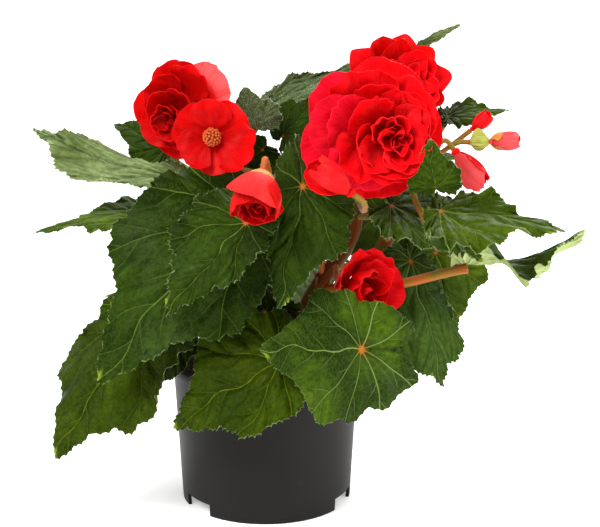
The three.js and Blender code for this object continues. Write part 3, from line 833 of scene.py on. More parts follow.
class LeafTone(Enum):
    """The kinds of leaf on the plant."""

    DEEP = LeafFinish(
        "leaf_deep", (0.0055, 0.016, 0.0005), (0.018, 0.041, 0.001), (0.10, 0.16, 0.022), (0.06, 0.10, 0.02)
    )
    MID = LeafFinish(
        "leaf_mid", (0.0055, 0.016, 0.0006), (0.019, 0.043, 0.001), (0.12, 0.18, 0.03), (0.08, 0.12, 0.03)
    )
    OLIVE = LeafFinish(
        "leaf_olive", (0.014, 0.030, 0.0003), (0.034, 0.058, 0.0005), (0.12, 0.17, 0.008),
        (0.07, 0.10, 0.012), painted_sheen_share=0.0,
    )
    FRESH = LeafFinish(
        "leaf_fresh", (0.009, 0.024, 0.0006), (0.046, 0.092, 0.001), (0.17, 0.25, 0.06), (0.12, 0.18, 0.04)
    )
    # painted light: a lighter copy of the leaf greens, for leaves lit from the front or shining through from
    # behind
    PAINTED_LIT = LeafFinish(
        "leaf_painted_lit", (0.030, 0.060, 0.001), (0.070, 0.120, 0.002), (0.17, 0.23, 0.03), (0.12, 0.17, 0.04),
        painted_sheen_share=0.1,
    )
    SLATE = LeafFinish(
        "leaf_slate", (0.018, 0.042, 0.0035), (0.042, 0.084, 0.009), (0.16, 0.23, 0.08), (0.05, 0.085, 0.02),
        painted_sheen=(0.07, 0.11, 0.06), painted_sheen_share=0.5,
    )
    SHADE = LeafFinish(
        "leaf_shade", (0.007, 0.016, 0.0005), (0.017, 0.034, 0.001), (0.06, 0.10, 0.012), (0.035, 0.06, 0.01)
    )
    WOOLLY = LeafFinish(
        "leaf_woolly", (0.036, 0.060, 0.016), (0.100, 0.150, 0.055), (0.32, 0.38, 0.20), (0.15, 0.20, 0.08)
    )
    PALE = LeafFinish(
        "leaf_pale", (0.090, 0.135, 0.030), (0.22, 0.29, 0.110), (0.34, 0.42, 0.20), (0.30, 0.38, 0.16)
    )
    FOLDED = LeafFinish(
        "leaf_folded", (0.012, 0.028, 0.0005), (0.034, 0.068, 0.001), (0.15, 0.22, 0.04), (0.36, 0.43, 0.17)
    )


PETAL_CLOUDS = Clouds(75.0, 0.5, 0.8)


@dataclass(frozen=True)
class PetalFinish:
    """The colours of one kind of petal. Each gives a front, a back and a margin."""

    name: str
    deep: Triple
    bright: Triple
    back: Triple
    streaks_across: float = 34.0
    streaks_along: float = 2.6
    streak_share: float = 0.62
    root_share: float = 0.7
    paleness: float = 0.022
    roughness: float = 0.55
    shine: float = 0.09
    shine_tint: Triple = (1.0, 0.45, 0.45)
    glow: float = 0.3
    glow_tint: Triple = (1.0, 0.05, 0.04)
    glow_depth: float = 0.005

    def face(self, suffix: str, deep: Triple, bright: Triple) -> Material:
        """One side of a petal: silky, with fine streaks from its root to its margin.

        Args:
            suffix: what is added to the name.
            deep: the colour at its root and in its streaks.
            bright: the colour near its margin.

        Returns:
            The material.
        """
        shader = Shader(self.name + suffix)
        out, across = shader.map("edge")
        turned = shader.times(across, self.streaks_across)
        drawn = shader.times(out, self.streaks_along)
        streaks = shader.noise(shader.spot(turned, drawn), 1.6)
        root = shader.times(shader.step(out, 0.8, 0.1), self.root_share)
        colour = shader.blend(root, bright, deep)
        lines = shader.times(shader.step(streaks, 0.62, 0.38), self.streak_share)
        colour = shader.blend(lines, colour, deep)
        pale = tuple(mix(value, 1.0, self.paleness) for value in bright)
        clouds = shader.times(PETAL_CLOUDS.share(shader, shader.place()), 0.5)
        colour = shader.blend(clouds, colour, pale)
        shader.relief(streaks, 0.4, 0.6)
        shader.set(base_color=colour, roughness=self.roughness)
        shader.set(specular_ior_level=self.shine, specular_tint=self.shine_tint)
        shader.set(sheen_weight=0.02, sheen_roughness=0.4, sheen_tint=(1.0, 0.25, 0.22))
        shader.set(subsurface_weight=self.glow, subsurface_radius=self.glow_tint)
        shader.set(subsurface_scale=self.glow_depth)
        return shader.material

    def finishes(self) -> list[Material]:
        """Makes the materials of the petal's sides and margin.

        Returns:
            The three materials.
        """
        rim = Shader(self.name + "_rim")
        clouds = rim.noise(rim.place(), 90.0)
        rim.set(base_color=rim.blend(clouds, self.bright, self.back), roughness=self.roughness)
        rim.set(specular_ior_level=0.1)
        front = self.face("_front", self.deep, self.bright)
        back_deep = tuple(mix(a, b, 0.6) for a, b in zip(self.back, self.deep))
        return [front, self.face("_back", back_deep, self.back), rim.material]


class PetalTone(Enum):
    """The kinds of petal on the plant."""

    SCARLET = PetalFinish(
        "petal_scarlet", (0.32, 0.0004, 0.0006), (0.50, 0.0010, 0.0012), (0.54, 0.003, 0.003)
    )
    CORAL = PetalFinish("petal_coral", (0.52, 0.0008, 0.0020), (0.77, 0.0030, 0.007), (0.78, 0.008, 0.011))
    PINK = PetalFinish("petal_pink", (0.60, 0.0025, 0.0110), (0.83, 0.0070, 0.028), (0.84, 0.018, 0.034))
    BLUSH = PetalFinish("petal_blush", (0.50, 0.002, 0.002), (0.74, 0.016, 0.015), (0.78, 0.022, 0.020))
    ROSE = PetalFinish("petal_rose", (0.66, 0.020, 0.022), (0.82, 0.060, 0.065), (0.84, 0.085, 0.090))
    SHELL = PetalFinish("petal_shell", (0.74, 0.040, 0.040), (0.88, 0.110, 0.110), (0.88, 0.120, 0.115))


@dataclass(frozen=True)
class FleshFinish:
    """The finish of stems, stalks and bracts: a green flesh flushed with red, in fine long streaks."""

    name: str
    green: Triple
    flush: Triple
    red_share: Pair = (0.35, 0.65)
    roughness: float = 0.42
    streaks_across: float = 22.0
    streaks_along: float = 3.0
    patch_scale: float = 34.0
    shine: float = 0.1
    shine_tint: Triple = (1.0, 0.75, 0.5)
    glow: float = 0.1
    glow_tint: Triple = (0.8, 0.4, 0.1)

    def material(self) -> Material:
        """Makes the finish as a material.

        Returns:
            The material.
        """
        shader = Shader(self.name)
        where = shader.place()
        patches = Clouds(self.patch_scale, *self.red_share).share(shader, where)
        along, across = shader.map("edge")
        turned = shader.times(across, self.streaks_across)
        drawn = shader.times(along, self.streaks_along)
        streaks = shader.noise(shader.spot(turned, drawn), 1.5)
        colour = shader.blend(patches, self.green, self.flush)
        dark = tuple(0.45 * value for value in self.flush)
        colour = shader.blend(shader.times(shader.step(streaks, 0.6, 0.35), 0.5), colour, dark)
        shader.relief(shader.sum("ADD", streaks, shader.noise(where, 700.0)), 0.3, 0.6)
        shader.set(base_color=colour, roughness=self.roughness, sheen_weight=0.02)
        shader.set(specular_ior_level=self.shine, specular_tint=self.shine_tint)
        shader.set(subsurface_weight=self.glow, subsurface_radius=self.glow_tint, subsurface_scale=0.002)
        return shader.material


STEM_FLESH = FleshFinish("stem_flesh", (0.058, 0.060, 0.007), (0.135, 0.026, 0.003))
STALK_FLESH = FleshFinish("stalk_flesh", (0.18, 0.16, 0.02), (0.46, 0.12, 0.025), (0.36, 0.6))
BRACT_FLESH = FleshFinish("bract_flesh", (0.17, 0.14, 0.035), (0.26, 0.08, 0.03), roughness=0.6)
BLOOM_BRACT_FLESH = FleshFinish(
    "bloom_bract_flesh", (0.30, 0.30, 0.05), (0.62, 0.20, 0.05), (0.4, 0.7), roughness=0.55
)
OVARY_FLESH = FleshFinish("ovary_flesh", (0.36, 0.43, 0.08), (0.58, 0.36, 0.10), (0.5, 0.8))


@dataclass(frozen=True)
class PlainFinish:
    """A finish of one colour with a little cloudy change, for hairs, stamens and such."""

    name: str
    colour: Triple
    second: Triple
    scale: float
    roughness: float
    depth: float = 0.0

    def material(self) -> Material:
        """Makes the finish as a material.

        Returns:
            The material.
        """
        shader = Shader(self.name)
        clouds = shader.noise(shader.place(), self.scale, 5.0)
        shader.set(base_color=shader.blend(clouds, self.colour, self.second), roughness=self.roughness)
        if self.depth:
            shader.relief(clouds, self.depth)
        return shader.material


HAIR = PlainFinish("hair", (0.34, 0.40, 0.20), (0.58, 0.62, 0.42), 200.0, 0.5)
DOWN = PlainFinish("down", (0.62, 0.66, 0.50), (0.80, 0.82, 0.70), 200.0, 0.5)
STAMEN_YELLOW = PlainFinish("stamen_yellow", (0.36, 0.028, 0.001), (0.62, 0.12, 0.004), 500.0, 0.6, 0.2)
SOIL_DARK = PlainFinish("soil_dark", (0.012, 0.008, 0.005), (0.075, 0.045, 0.026), 260.0, 0.95, 1.0)
SOIL_GRAIN = PlainFinish("soil_grain", (0.03, 0.018, 0.01), (0.15, 0.09, 0.05), 420.0, 0.9, 0.4)


@dataclass(frozen=True)
class PotFinish:
    """The pot's moulded plastic: satin charcoal, with a fine grain and faint scuffs."""

    dark: Triple = (0.0092, 0.0086, 0.0076)
    light: Triple = (0.0128, 0.0120, 0.0108)
    scuffed: Triple = (0.04, 0.039, 0.037)
    scuffs: Clouds = Clouds(120.0, 0.66, 0.8, 6.0)
    grain: float = 1400.0
    grain_depth: float = 0.06
    roughness: float = 0.4
    shine: float = 0.1

    def material(self) -> Material:
        """Makes the finish as a material.

        Returns:
            The material.
        """
        shader = Shader("pot_plastic")
        where = shader.place()
        clouds = shader.noise(where, 18.0)
        grain = shader.noise(where, self.grain, 2.0)
        scuffs = self.scuffs.share(shader, where)
        colour = shader.blend(clouds, self.dark, self.light)
        colour = shader.blend(shader.times(scuffs, 0.25), colour, self.scuffed)
        rough = shader.line(scuffs, 0.1, self.roughness)
        rough = shader.line(clouds, 0.12, rough)
        shader.relief(grain, self.grain_depth, 0.5)
        shader.set(base_color=colour, roughness=rough, specular_ior_level=self.shine)
        return shader.material


# Leaves.

LEAF_OUTLINE = [
    (0, 1.0), (8, 0.85), (18, 0.72), (30, 0.64), (45, 0.57), (60, 0.48), (80, 0.39),
    (105, 0.35), (130, 0.35), (155, 0.35), (168, 0.28), (174, 0.22), (177, 0.18),
]
LEAF_HALF_ANGLE = math.radians(177)
SINUS_ANGLE = math.radians(180.5)
SINUS_START = math.radians(160)
SINUS_LIFT = 0.9
LEAF_TEETH = 9
LEAF_TOOTH = 0.045
TEETH_START = 0.84
TOOTH_WIDTHS = (9, 11, 13, 15)
TOOTH_HEIGHTS = (1.2, 2.9)
TOOTH_LEAN = 1.1
TOOTH_EVERY = 3
TOOTH_SIZE = 1.15
LARGEST_SMALL_TOOTH = 1.25
CALM_MARGIN = 0.08
MARGIN_WAVES = 5
MARGIN_FRILLS = (17, 29)
MARGIN_SAMPLES = 600
SMALL_LEAF = 62.0
SMALL_GRID = (168, 13)
LARGE_GRID = (256, 22)
MAIN_GROOVE = 0.024
SIDE_GROOVE = 0.015
QUILT = 13
STALK_SLANT = 37.0
LEAF_THICKNESS = 0.8
LEAF_STALK_RADIUS = 2.0
CLEARANCE = 0.3
FRINGE_GAP = 6
DOWN_HAIRS = 1500
HAIR_RADIUS = 0.065
DOWN_RADIUS = 0.07
WOOL_RADIUS = 0.1
FRINGE_LENGTHS = (0.5, 1.5)
DOWN_LENGTHS = (0.8, 1.7)
STALK_TAIL = 12


def outline_reach(angle: float) -> float:
    """The reach of a leaf's flat outline at an angle from its tip, as a share of its length.

    Args:
        angle: the angle from the tip, in radians.

    Returns:
        The reach, with its large teeth.
    """
    degrees = min(math.degrees(abs(angle)), LEAF_OUTLINE[-1][0])
    teeth = LEAF_TOOTH * math.cos(LEAF_TEETH * math.pi * angle / LEAF_HALF_ANGLE)
    return rounded(LEAF_OUTLINE, degrees) * (1 + teeth)


@dataclass
class Leaf:
    """One leaf: where it hangs and how its blade is cut, bent and coloured.

    It leaves its stem at start, a share of the stem's length. The blade runs from hub to tip with its upper
    side towards face. wide stretches its left and right halves, base the lobes behind the hub, and full its
    shoulders. droop bends it along its length, fold and curl lift its halves, and tip_fold is the fold near
    the tip, all in degrees. wave and frill are shares of its length, and girth thickens its stalk.
    """

    name: str
    stem: str
    start: float
    hub: Triple
    tip: Triple
    face: Triple
    wide: Pair
    base: float = 1.0
    full: float = 0.0
    droop: float = 20.0
    fold: float = 0.0
    curl: float = 0.0
    wave: float = 0.04
    phase: float = 0.0
    via: Sequence[Triple] = ()
    slant: float = STALK_SLANT
    tone: LeafTone = LeafTone.DEEP
    frill: float = 0.014
    tip_fold: Optional[float] = None
    girth: float = 1.0

    blade: float = 0.5
    groove: float = 1.6

    def __post_init__(self) -> None:
        """Works out the blade's frame and how its margin is divided."""
        chord = Vector(self.tip) - Vector(self.hub)
        self.along = chord.normalized()
        face = Vector(self.face)
        self.up = (face - self.along * face.dot(self.along)).normalized()
        self.across = self.up.cross(self.along)
        self.bend = math.radians(self.droop)
        self.arc = chord.length / (2 * math.sin(self.bend / 2))
        self.length = self.arc * self.bend
        self.small = self.length < SMALL_LEAF
        self.columns, self.rings = SMALL_GRID if self.small else LARGE_GRID
        self.margin = self.margin_teeth(random.Random(self.name))
        self.angles = self.margin_angles()

    def flat_point(self, angle: float, share: float) -> Pair:
        """A place on the flat blade, in millimetres from its hub.

        Args:
            angle: the angle from the tip, in radians.
            share: the share of the way from the hub to the margin.

        Returns:
            How far the place is towards the tip and to the left.
        """
        shoulder = 1 + self.full * math.sin(3 * angle) ** 2 if abs(angle) < math.pi / 3 else 1
        reach = self.length * share * outline_reach(angle) * shoulder
        x = reach * math.cos(angle) * (self.base if abs(angle) > math.pi / 2 else 1)
        return x, reach * math.sin(angle) * self.wide[0 if angle > 0 else 1]

    def margin_angles(self) -> list[float]:
        """The angles that divide the margin into equal lengths, so that its teeth are alike.

        Returns:
            An angle for each column.
        """
        fine = [mix(-SINUS_ANGLE, SINUS_ANGLE, i / MARGIN_SAMPLES) for i in range(MARGIN_SAMPLES + 1)]
        run = [0.0]
        for start, end in zip(fine, fine[1:]):
            run.append(run[-1] + math.dist(self.flat_point(start, 1), self.flat_point(end, 1)))
        table = list(zip(run, fine))
        return [between(table, run[-1] * i / self.columns) for i in range(self.columns + 1)]

    def margin_teeth(self, draw: random.Random) -> list[float]:
        """How far the margin stands out at each column, in millimetres, alike on both sides of the tip.

        Large rounded teeth with points that lean towards the tip carry small sharp ones. Both are uneven,
        and they are calm beside the notch.

        Args:
            draw: the seeded source of chance.

        Returns:
            The distances, from one side of the notch round the tip to the other.
        """
        half = self.columns // 2
        side = []
        while len(side) <= half:
            width = draw.choice(TOOTH_WIDTHS)
            height = draw.uniform(*TOOTH_HEIGHTS)
            for k in range(width):
                tooth = height * (math.sin(math.pi * min(k / width * TOOTH_LEAN, 1)) ** 0.7 - 0.9)
                pointed = k % TOOTH_EVERY == TOOTH_EVERY - 1
                small = draw.uniform(0.6, 1.15) if pointed else draw.uniform(-0.4, 0.0)
                side.append(tooth + small)
        size = min(self.length / 85, LARGEST_SMALL_TOOTH) if self.small else TOOTH_SIZE
        depths = [side[k] * smooth(k / half, 0.0, CALM_MARGIN) * size for k in range(half + 1)]
        return [*depths, *reversed(depths[:half])]

    def vein_place(self, x: float, y: float) -> Pair:
        """A flat place as the leaf's veins see it: as shares of its length, and gently swayed.

        Args:
            x: how far it is towards the tip, in millimetres.
            y: how far it is to the left.

        Returns:
            The two shares.
        """
        u = x / self.length / (self.base if x < 0 else 1)
        v = y / self.length / self.wide[0 if y > 0 else 1]
        sway = 0.02 * min(4 * math.hypot(u, v), 1)
        return (
            u + sway * math.sin(9 * v + 5 * u + self.phase),
            v + sway * math.sin(10 * u + 2 * self.phase) + 0.6 * sway * math.sin(19 * u + self.phase),
        )

    def toothed(self, column: float, share: float) -> Triple:
        """A flat place with the teeth of the margin, and the angle that it lies at.

        Args:
            column: the share of the way round the margin.
            share: the share of the way from the hub to the margin.

        Returns:
            The two flat sizes and the angle.
        """
        i = min(round(column * self.columns), self.columns)
        angle = self.angles[i]
        x, y = self.flat_point(angle, share)
        if share > TEETH_START:
            before = self.flat_point(self.angles[max(i - 1, 0)], 1)
            after = self.flat_point(self.angles[min(i + 1, self.columns)], 1)
            run = Vector((after[0] - before[0], after[1] - before[1])).normalized()
            depth = self.margin[i] * smooth(share, TEETH_START, 1.0)
            x += run.y * depth
            y -= run.x * depth
        return x, y, angle

    def relief(self, x: float, y: float, share: float) -> float:
        """How far the blade swells between its veins and sinks along them.

        Args:
            x: how far the place is towards the tip, in millimetres.
            y: how far it is to the left.
            share: the share of the way from the hub to the margin.

        Returns:
            The height in millimetres.
        """
        u, v = self.vein_place(x, y)
        main, side, aside = VEINS.distances(u, v)
        fade = smooth(share, 0.0, 0.12) * (1 - 0.5 * smooth(share, 0.8, 1.0))
        sunk = math.exp(-((main / MAIN_GROOVE) ** 2)) * (1 - 0.5 * share)
        sunk += 0.6 * math.exp(-((side / SIDE_GROOVE) ** 2)) * smooth(aside, 0.46, 0.2)
        quilt = 0.5 * noise.noise(Vector((QUILT * u, QUILT * v, self.phase)))
        return self.groove * (0.45 - sunk + quilt) * fade * min(self.length / 100, 1)

    def ripple(self, angle: float, share: float) -> float:
        """How far the margin waves and frills, and how its two ends lap at the notch.

        Args:
            angle: the angle from the tip, in radians.
            share: the share of the way from the hub to the margin.

        Returns:
            The height in millimetres.
        """
        coarse, fine = MARGIN_FRILLS
        waves = self.wave * self.length * share**2 * math.sin(MARGIN_WAVES * angle + self.phase)
        frill = math.sin(coarse * angle + 2 * self.phase) + 0.6 * math.sin(fine * angle + self.phase)
        waves += self.frill * self.length * share**4 * frill
        lapped = smooth(abs(angle), SINUS_START, SINUS_ANGLE) * smooth(share, 0.0, 0.3)
        return waves + math.copysign(SINUS_LIFT, angle) * lapped

    def point(self, column: float, share: float) -> Vector:
        """A place on the bent blade, with the relief of its veins.

        Args:
            column: the share of the way round the margin.
            share: the share of the way from the hub to the margin.

        Returns:
            The place in millimetres.
        """
        x, y, angle = self.toothed(column, share)
        fold = self.fold
        if self.tip_fold is not None:
            fold = mix(self.fold, self.tip_fold, smooth(x, 0.15 * self.length, 0.5 * self.length))
        lift = math.radians(fold + self.curl * abs(y) / self.length)
        radius = self.arc + abs(y) * math.sin(lift) + self.ripple(angle, share) + self.relief(x, y, share)
        turn = x / self.arc - self.bend / 2
        sag = self.arc * math.cos(self.bend / 2)
        return (
            Vector(self.hub)
            + self.along * (radius * math.sin(turn) + self.arc * math.sin(self.bend / 2))
            + self.across * (y * math.cos(lift))
            + self.up * (radius * math.cos(turn) - sag)
        )

    def stalk_end(self) -> list[Vector]:
        """The last two points of its stalk, which ends in the blade's underside at the hub.

        Returns:
            The two points.
        """
        turn = Quaternion(self.across, -self.bend / 2)
        forward, normal = turn @ self.along, turn @ self.up
        slant = math.radians(self.slant)
        way = normal * math.cos(slant) + forward * math.sin(slant)
        depth = LEAF_THICKNESS / 2 + CLEARANCE + LEAF_STALK_RADIUS * math.sin(slant)
        end = Vector(self.hub) - normal * depth
        return [end - way * STALK_TAIL, end]

    def fringe(self, draw: random.Random) -> list[Hair]:
        """The fine hairs along its margin.

        Args:
            draw: the seeded source of chance.

        Returns:
            The root, the tip and the radius of each hair.
        """
        hairs = []
        woolly = self.tone is LeafTone.WOOLLY
        for i in range(FRINGE_GAP, self.columns - FRINGE_GAP):
            column = i / self.columns
            root = self.point(column, 1.0).lerp(self.point((i + 1) / self.columns, 1.0), draw.random())
            way = (root - self.point(column, 0.93)).normalized()
            way += Vector([draw.uniform(-0.5, 0.5) for _ in range(3)])
            length = draw.uniform(*FRINGE_LENGTHS) * (1.4 if woolly else 0.75 if self.small else 1.0)
            hairs.append((root, root + way.normalized() * length, WOOL_RADIUS if woolly else HAIR_RADIUS))
        return hairs

    def down(self, draw: random.Random) -> list[Hair]:
        """The short silky hairs that stand on a young leaf's upper face.

        Args:
            draw: the seeded source of chance.

        Returns:
            The root, the tip and the radius of each hair.
        """
        hairs = []
        for _ in range(DOWN_HAIRS):
            column = draw.randrange(self.columns) / self.columns
            share = math.sqrt(draw.uniform(0.02, 0.98))
            root = self.point(column, share)
            way = self.up + Vector([draw.uniform(-0.7, 0.7) for _ in range(3)])
            hairs.append((root, root + way.normalized() * draw.uniform(*DOWN_LENGTHS), DOWN_RADIUS))
        return hairs

    def build(self, finishes: dict[LeafTone, list[Material]], hair: Sequence[Material]) -> list[Object]:
        """Makes the blade and its fringe and puts them on the plant.

        Args:
            finishes: the upper face, underside and rim of each kind of leaf.
            hair: the materials of the fringe and of a young leaf's down.

        Returns:
            The pieces.
        """
        sheets = SheetMesh()

        def flat(column: float, share: float) -> Pair:
            """The flat map's value at a corner."""
            x, y, _ = self.toothed(column, share)
            return self.vein_place(x, y)

        sheets.add(self.columns, self.rings, self.point, flat)
        sheets.mark_margins()
        blade = Piece(self.name + "_blade", sheets.bm, finishes[self.tone]).thicken(self.blade)
        draw = random.Random(self.name)
        hairs = SheetMesh()
        woolly = self.tone is LeafTone.WOOLLY
        hairs.spikes(self.fringe(draw), 1 if woolly else 0)
        if woolly:
            hairs.spikes(self.down(draw), 1)
        fringe = Piece(self.name + "_fringe", hairs.bm, hair)
        return [blade.place("leaf", self.name), fringe.place("leaf")]


LEAVES = [
    Leaf("leaf_left_broad", "stem_left", 0.8, (-18, -56, 216), (-101, -95, 118), (0.05, -0.85, 0.52),
         (0.9, 1.0), base=0.7, droop=34, curl=-14, phase=1),
    Leaf("leaf_left_front", "stem_centre", 0.6, (-10, -96, 219), (-57, -122, 169), (-0.1, -0.85, 0.5),
         (0.7, 1.15), base=0.95, droop=24, phase=3, via=((36, -34, 188), (27, -58, 208), (6, -72, 219)),
         tone=LeafTone.MID),
    Leaf("leaf_left_low", "stem_left", 0.45, (-69, -45, 146), (-133, -72, 57), (-0.45, -0.6, 0.5),
         (0.85, 0.95), base=0.95, full=0.2, droop=36, fold=-8, phase=2, tone=LeafTone.OLIVE),
    Leaf("leaf_left_shade", "stem_left", 0.35, (-60, -14, 126), (-88, -20, 78), (-0.4, -0.7, 0.5),
         (1.1, 1.1), base=0.5, droop=30, phase=4, tone=LeafTone.SHADE),
    Leaf("leaf_front_pale", "stem_centre", 0.3, (11, -84, 125), (-57, -80, 79), (-0.35, -0.8, 0.5),
         (1.15, 1.2), droop=24, fold=6, phase=4, tone=LeafTone.OLIVE),
    Leaf("leaf_front_shade", "stem_left", 0.3, (0, -50, 147), (-46, -60, 107), (-0.3, -0.8, 0.5),
         (1.1, 1.1), base=1.1, droop=30, phase=5, tone=LeafTone.SHADE),
    Leaf("leaf_front_broad", "stem_centre", 0.45, (62, -98, 137), (1, -104, 139), (0, -0.9, 0.43),
         (1.85, 1.55), base=1.9, droop=16, curl=-10, phase=0.5, tone=LeafTone.FRESH),
    Leaf("leaf_right_front", "stem_centre", 0.65, (98, -14, 172), (119, -40, 95), (0.2, -0.93, 0.36),
         (0.46, 0.8), base=0.55, full=0.5, droop=16, fold=-6, phase=2.5, tone=LeafTone.SLATE, groove=0.3,
         wave=0.02),
    Leaf("leaf_right_low", "stem_right", 0.55, (116, 8, 172), (126, -2, 120), (0.3, -0.85, 0.4),
         (1.6, 0.8), base=0.8, droop=24, phase=1.5, tone=LeafTone.PAINTED_LIT),
    Leaf("leaf_right_long", "stem_right", 0.9, (112, -76, 222), (187, -86, 212), (0, -0.42, 0.9),
         (0.6, 1.05), base=0.4, droop=22, phase=3.5, via=((90, -14, 240), (94, -42, 236), (99, -62, 221)),
         tone=LeafTone.PAINTED_LIT, frill=0.035),
    Leaf("leaf_right_upright", "stem_right", 0.95, (108, -84, 239), (103, -96, 271), (-0.2, -0.95, 0.1),
         (1.2, 1.3), base=0.4, droop=10, fold=10, via=((105, -22, 236), (110, -50, 239)), slant=8,
         tone=LeafTone.FRESH, frill=0.04),
    Leaf("leaf_right_mid", "stem_centre", 0.9, (82, -54, 220), (141, -64, 190), (0.3, -0.5, 0.82),
         (1.05, 1.05), base=0.5, droop=26, phase=5.5, tone=LeafTone.FRESH, frill=0.03),
    Leaf("leaf_right_folded", "stem_centre", 0.55, (134, -36, 176), (209, -38, 197), (-0.3, 0.25, 0.92),
         (0.8, 0.55), base=0.5, droop=-32, fold=36, wave=0.03, phase=2, via=((80, -37, 161),), slant=76,
         tone=LeafTone.FOLDED, tip_fold=-42, frill=0.03, girth=1.6),
    Leaf("leaf_left_folded", "stem_left", 0.9, (-58, -16, 231), (-150, -10, 260), (0.15, -0.5, 0.85),
         (0.5, 0.3), base=0.5, full=0.4, droop=-30, phase=3, tone=LeafTone.PALE),
    Leaf("leaf_left_mid", "stem_left", 0.75, (-80, -4, 204), (-150, -14, 189), (-0.35, -0.1, 0.92),
         (0.75, 1.0), base=0.7, droop=20, phase=1.2, tone=LeafTone.PAINTED_LIT),
    Leaf("leaf_left_small", "stem_left", 0.95, (-68, 30, 242), (-103, 36, 255), (0, -0.7, 0.7),
         (1.4, 1.3), base=0.5, droop=20, tone=LeafTone.MID),
    Leaf("leaf_top_long", "stem_back", 0.9, (-11, 46, 262), (70, 66, 300), (-0.3, -0.5, 0.8),
         (0.3, 0.65), base=0.5, droop=-10, fold=8, phase=4, tone=LeafTone.WOOLLY),
    Leaf("leaf_top_shade", "stem_back", 0.95, (12, 8, 253), (38, 4, 280), (-0.2, -0.7, 0.7),
         (1.2, 1.2), base=0.6, droop=20, phase=2),
    Leaf("leaf_centre", "stem_centre", 0.95, (25, -74, 237), (10, -99, 168), (0.05, -0.93, 0.36),
         (1.15, 0.75), base=1.45, droop=26, phase=0.8),
    Leaf("leaf_top_young", "stem_left", 0.97, (-6, 0, 261), (-14, -6, 288), (0, -0.95, 0.2),
         (1.65, 1.65), base=0.5, droop=12, fold=14, tone=LeafTone.WOOLLY, frill=0.06),
    Leaf("leaf_right_top", "stem_right", 0.97, (124, 31, 262), (166, 36, 266), (0.1, -0.35, 0.93),
         (0.8, 0.8), base=0.5, droop=16, phase=4, tone=LeafTone.FRESH, frill=0.03),
    Leaf("leaf_top_narrow", "stem_right", 0.97, (106, 46, 308), (132, 48, 322), (-0.3, -0.8, 0.5),
         (0.3, 0.3), base=0.5, droop=16, via=((104, 44, 280),), tone=LeafTone.PALE),
    Leaf("leaf_inner_top", "stem_back", 0.8, (-2, 26, 240), (-29, 16, 214), (-0.2, -0.85, 0.45),
         (1.2, 1.2), base=0.6, droop=20, phase=3, tone=LeafTone.SHADE),
    Leaf("leaf_inner_right", "stem_back", 0.7, (83, 38, 193), (79, 30, 143), (0.2, -0.8, 0.5),
         (0.9, 1.9), base=0.8, droop=26, phase=4, via=((48, 46, 176), (78, 50, 180)), tone=LeafTone.SHADE),
    Leaf("leaf_back_high_left", "stem_left", 0.92, (-36, 50, 240), (-72, 98, 208), (-0.5, 0.4, 0.75),
         (1.0, 1.0), base=0.7, droop=34, phase=2, tone=LeafTone.FRESH),
    Leaf("leaf_back_high_right", "stem_right", 0.88, (98, 66, 236), (128, 112, 204), (0.45, 0.45, 0.75),
         (1.0, 1.0), base=0.7, droop=34, phase=5),
    Leaf("leaf_back_left", "stem_back", 0.75, (-46, 62, 196), (-100, 118, 150), (-0.4, 0.45, 0.8),
         (1.1, 1.05), base=0.8, droop=34, phase=2),
    Leaf("leaf_back_middle", "stem_back", 0.85, (10, 84, 214), (2, 158, 168), (0, 0.55, 0.8),
         (1.05, 1.1), base=0.8, droop=34, phase=1, tone=LeafTone.FRESH),
    Leaf("leaf_back_right", "stem_back", 0.8, (66, 66, 207), (112, 128, 164), (0.4, 0.45, 0.8),
         (1.1, 1.0), base=0.8, droop=34, phase=3),
    Leaf("leaf_back_right_low", "stem_right", 0.4, (80, 54, 142), (120, 106, 96), (0.5, 0.4, 0.75),
         (1.1, 1.05), base=0.6, droop=36, phase=4, tone=LeafTone.OLIVE),
    Leaf("leaf_back_left_low", "stem_left", 0.4, (-64, 40, 146), (-112, 86, 102), (-0.5, 0.4, 0.75),
         (1.05, 1.1), base=0.7, droop=36, phase=5, tone=LeafTone.OLIVE),
    Leaf("leaf_back_low", "stem_back", 0.45, (10, 76, 148), (18, 142, 94), (0.1, 0.6, 0.75),
         (1.25, 1.25), base=0.9, droop=36, tone=LeafTone.SHADE),
]


# Blooms.

FLOWER_STALK_TAIL = 8
CORE_RADIUS = 0.13
CORE_BACK = 0.1
PETAL_LAP = 0.11
PETAL_WRAP = 1.5
PETAL_LENGTHS = (0.93, 1.05)
PETAL_ROUNDING = 0.3
PETAL_UNEVEN = 0.05
PEAK_WIDTH = 0.3
RUFFLE_GAIN = 2.2
RUFFLE_WAVES = ((3.2, 2.4, 0, 1.0), (8.0, 3.0, 3, 0.5))
CREASE_START = 0.4
CREASE_END = 0.75
WHORL_TURN = 0.35
CORE_OUTLINE = ((-1.0, 0.55), (-0.5, 0.85), (0.0, 0.8), (0.8, 0.0))
PETAL_THICKNESS = 0.35
FINE_PETAL = 18
FINE_PETAL_GRID = (20, 14)
PETAL_GRID = (14, 10)
SECOND_SLOT = 3
BRACT_SLOT = 6
OVARY_LENGTH = 12.0
OVARY_RADIUS = 4.0
OVARY_WING = 9.5
OVARY_WALL = 0.5
OVARY_WINGS = 3
OVARY_OUTLINE = ((0.0, 0.0), (0.0, 0.55), (0.2, 0.85), (0.5, 1.0), (0.8, 0.9), (1.0, 0.65), (1.0, 0.0))
STAMENS = 44
STAMEN_SPREAD = 1.4
BOSS_OUTLINE = ((0.0, 0.0), (0.0, 3.6), (1.6, 4.4), (3.4, 2.8), (4.2, 0.0))
STAMEN_OUTLINE = (
    (0.0, 0.0),
    (0.0, 0.34),
    (2.0, 0.32),
    (2.5, 0.75),
    (3.9, 0.9),
    (4.3, 0.62),
    (4.1, 0.25),
    (4.1, 0.0),
)


@dataclass(frozen=True)
class Layer:
    """One whorl of petals. Angles are in degrees, and lengths are shares of the bloom's.

    A crease lifts both edges of a petal against its middle, and wander is how far its angles stray.
    """

    count: int
    size: float
    rise: float
    curl: float
    half_angle: float
    height: float
    ruffle: float = 0.04
    crease: float = 0.0
    wander: float = 4.0
    point: float = 0.0


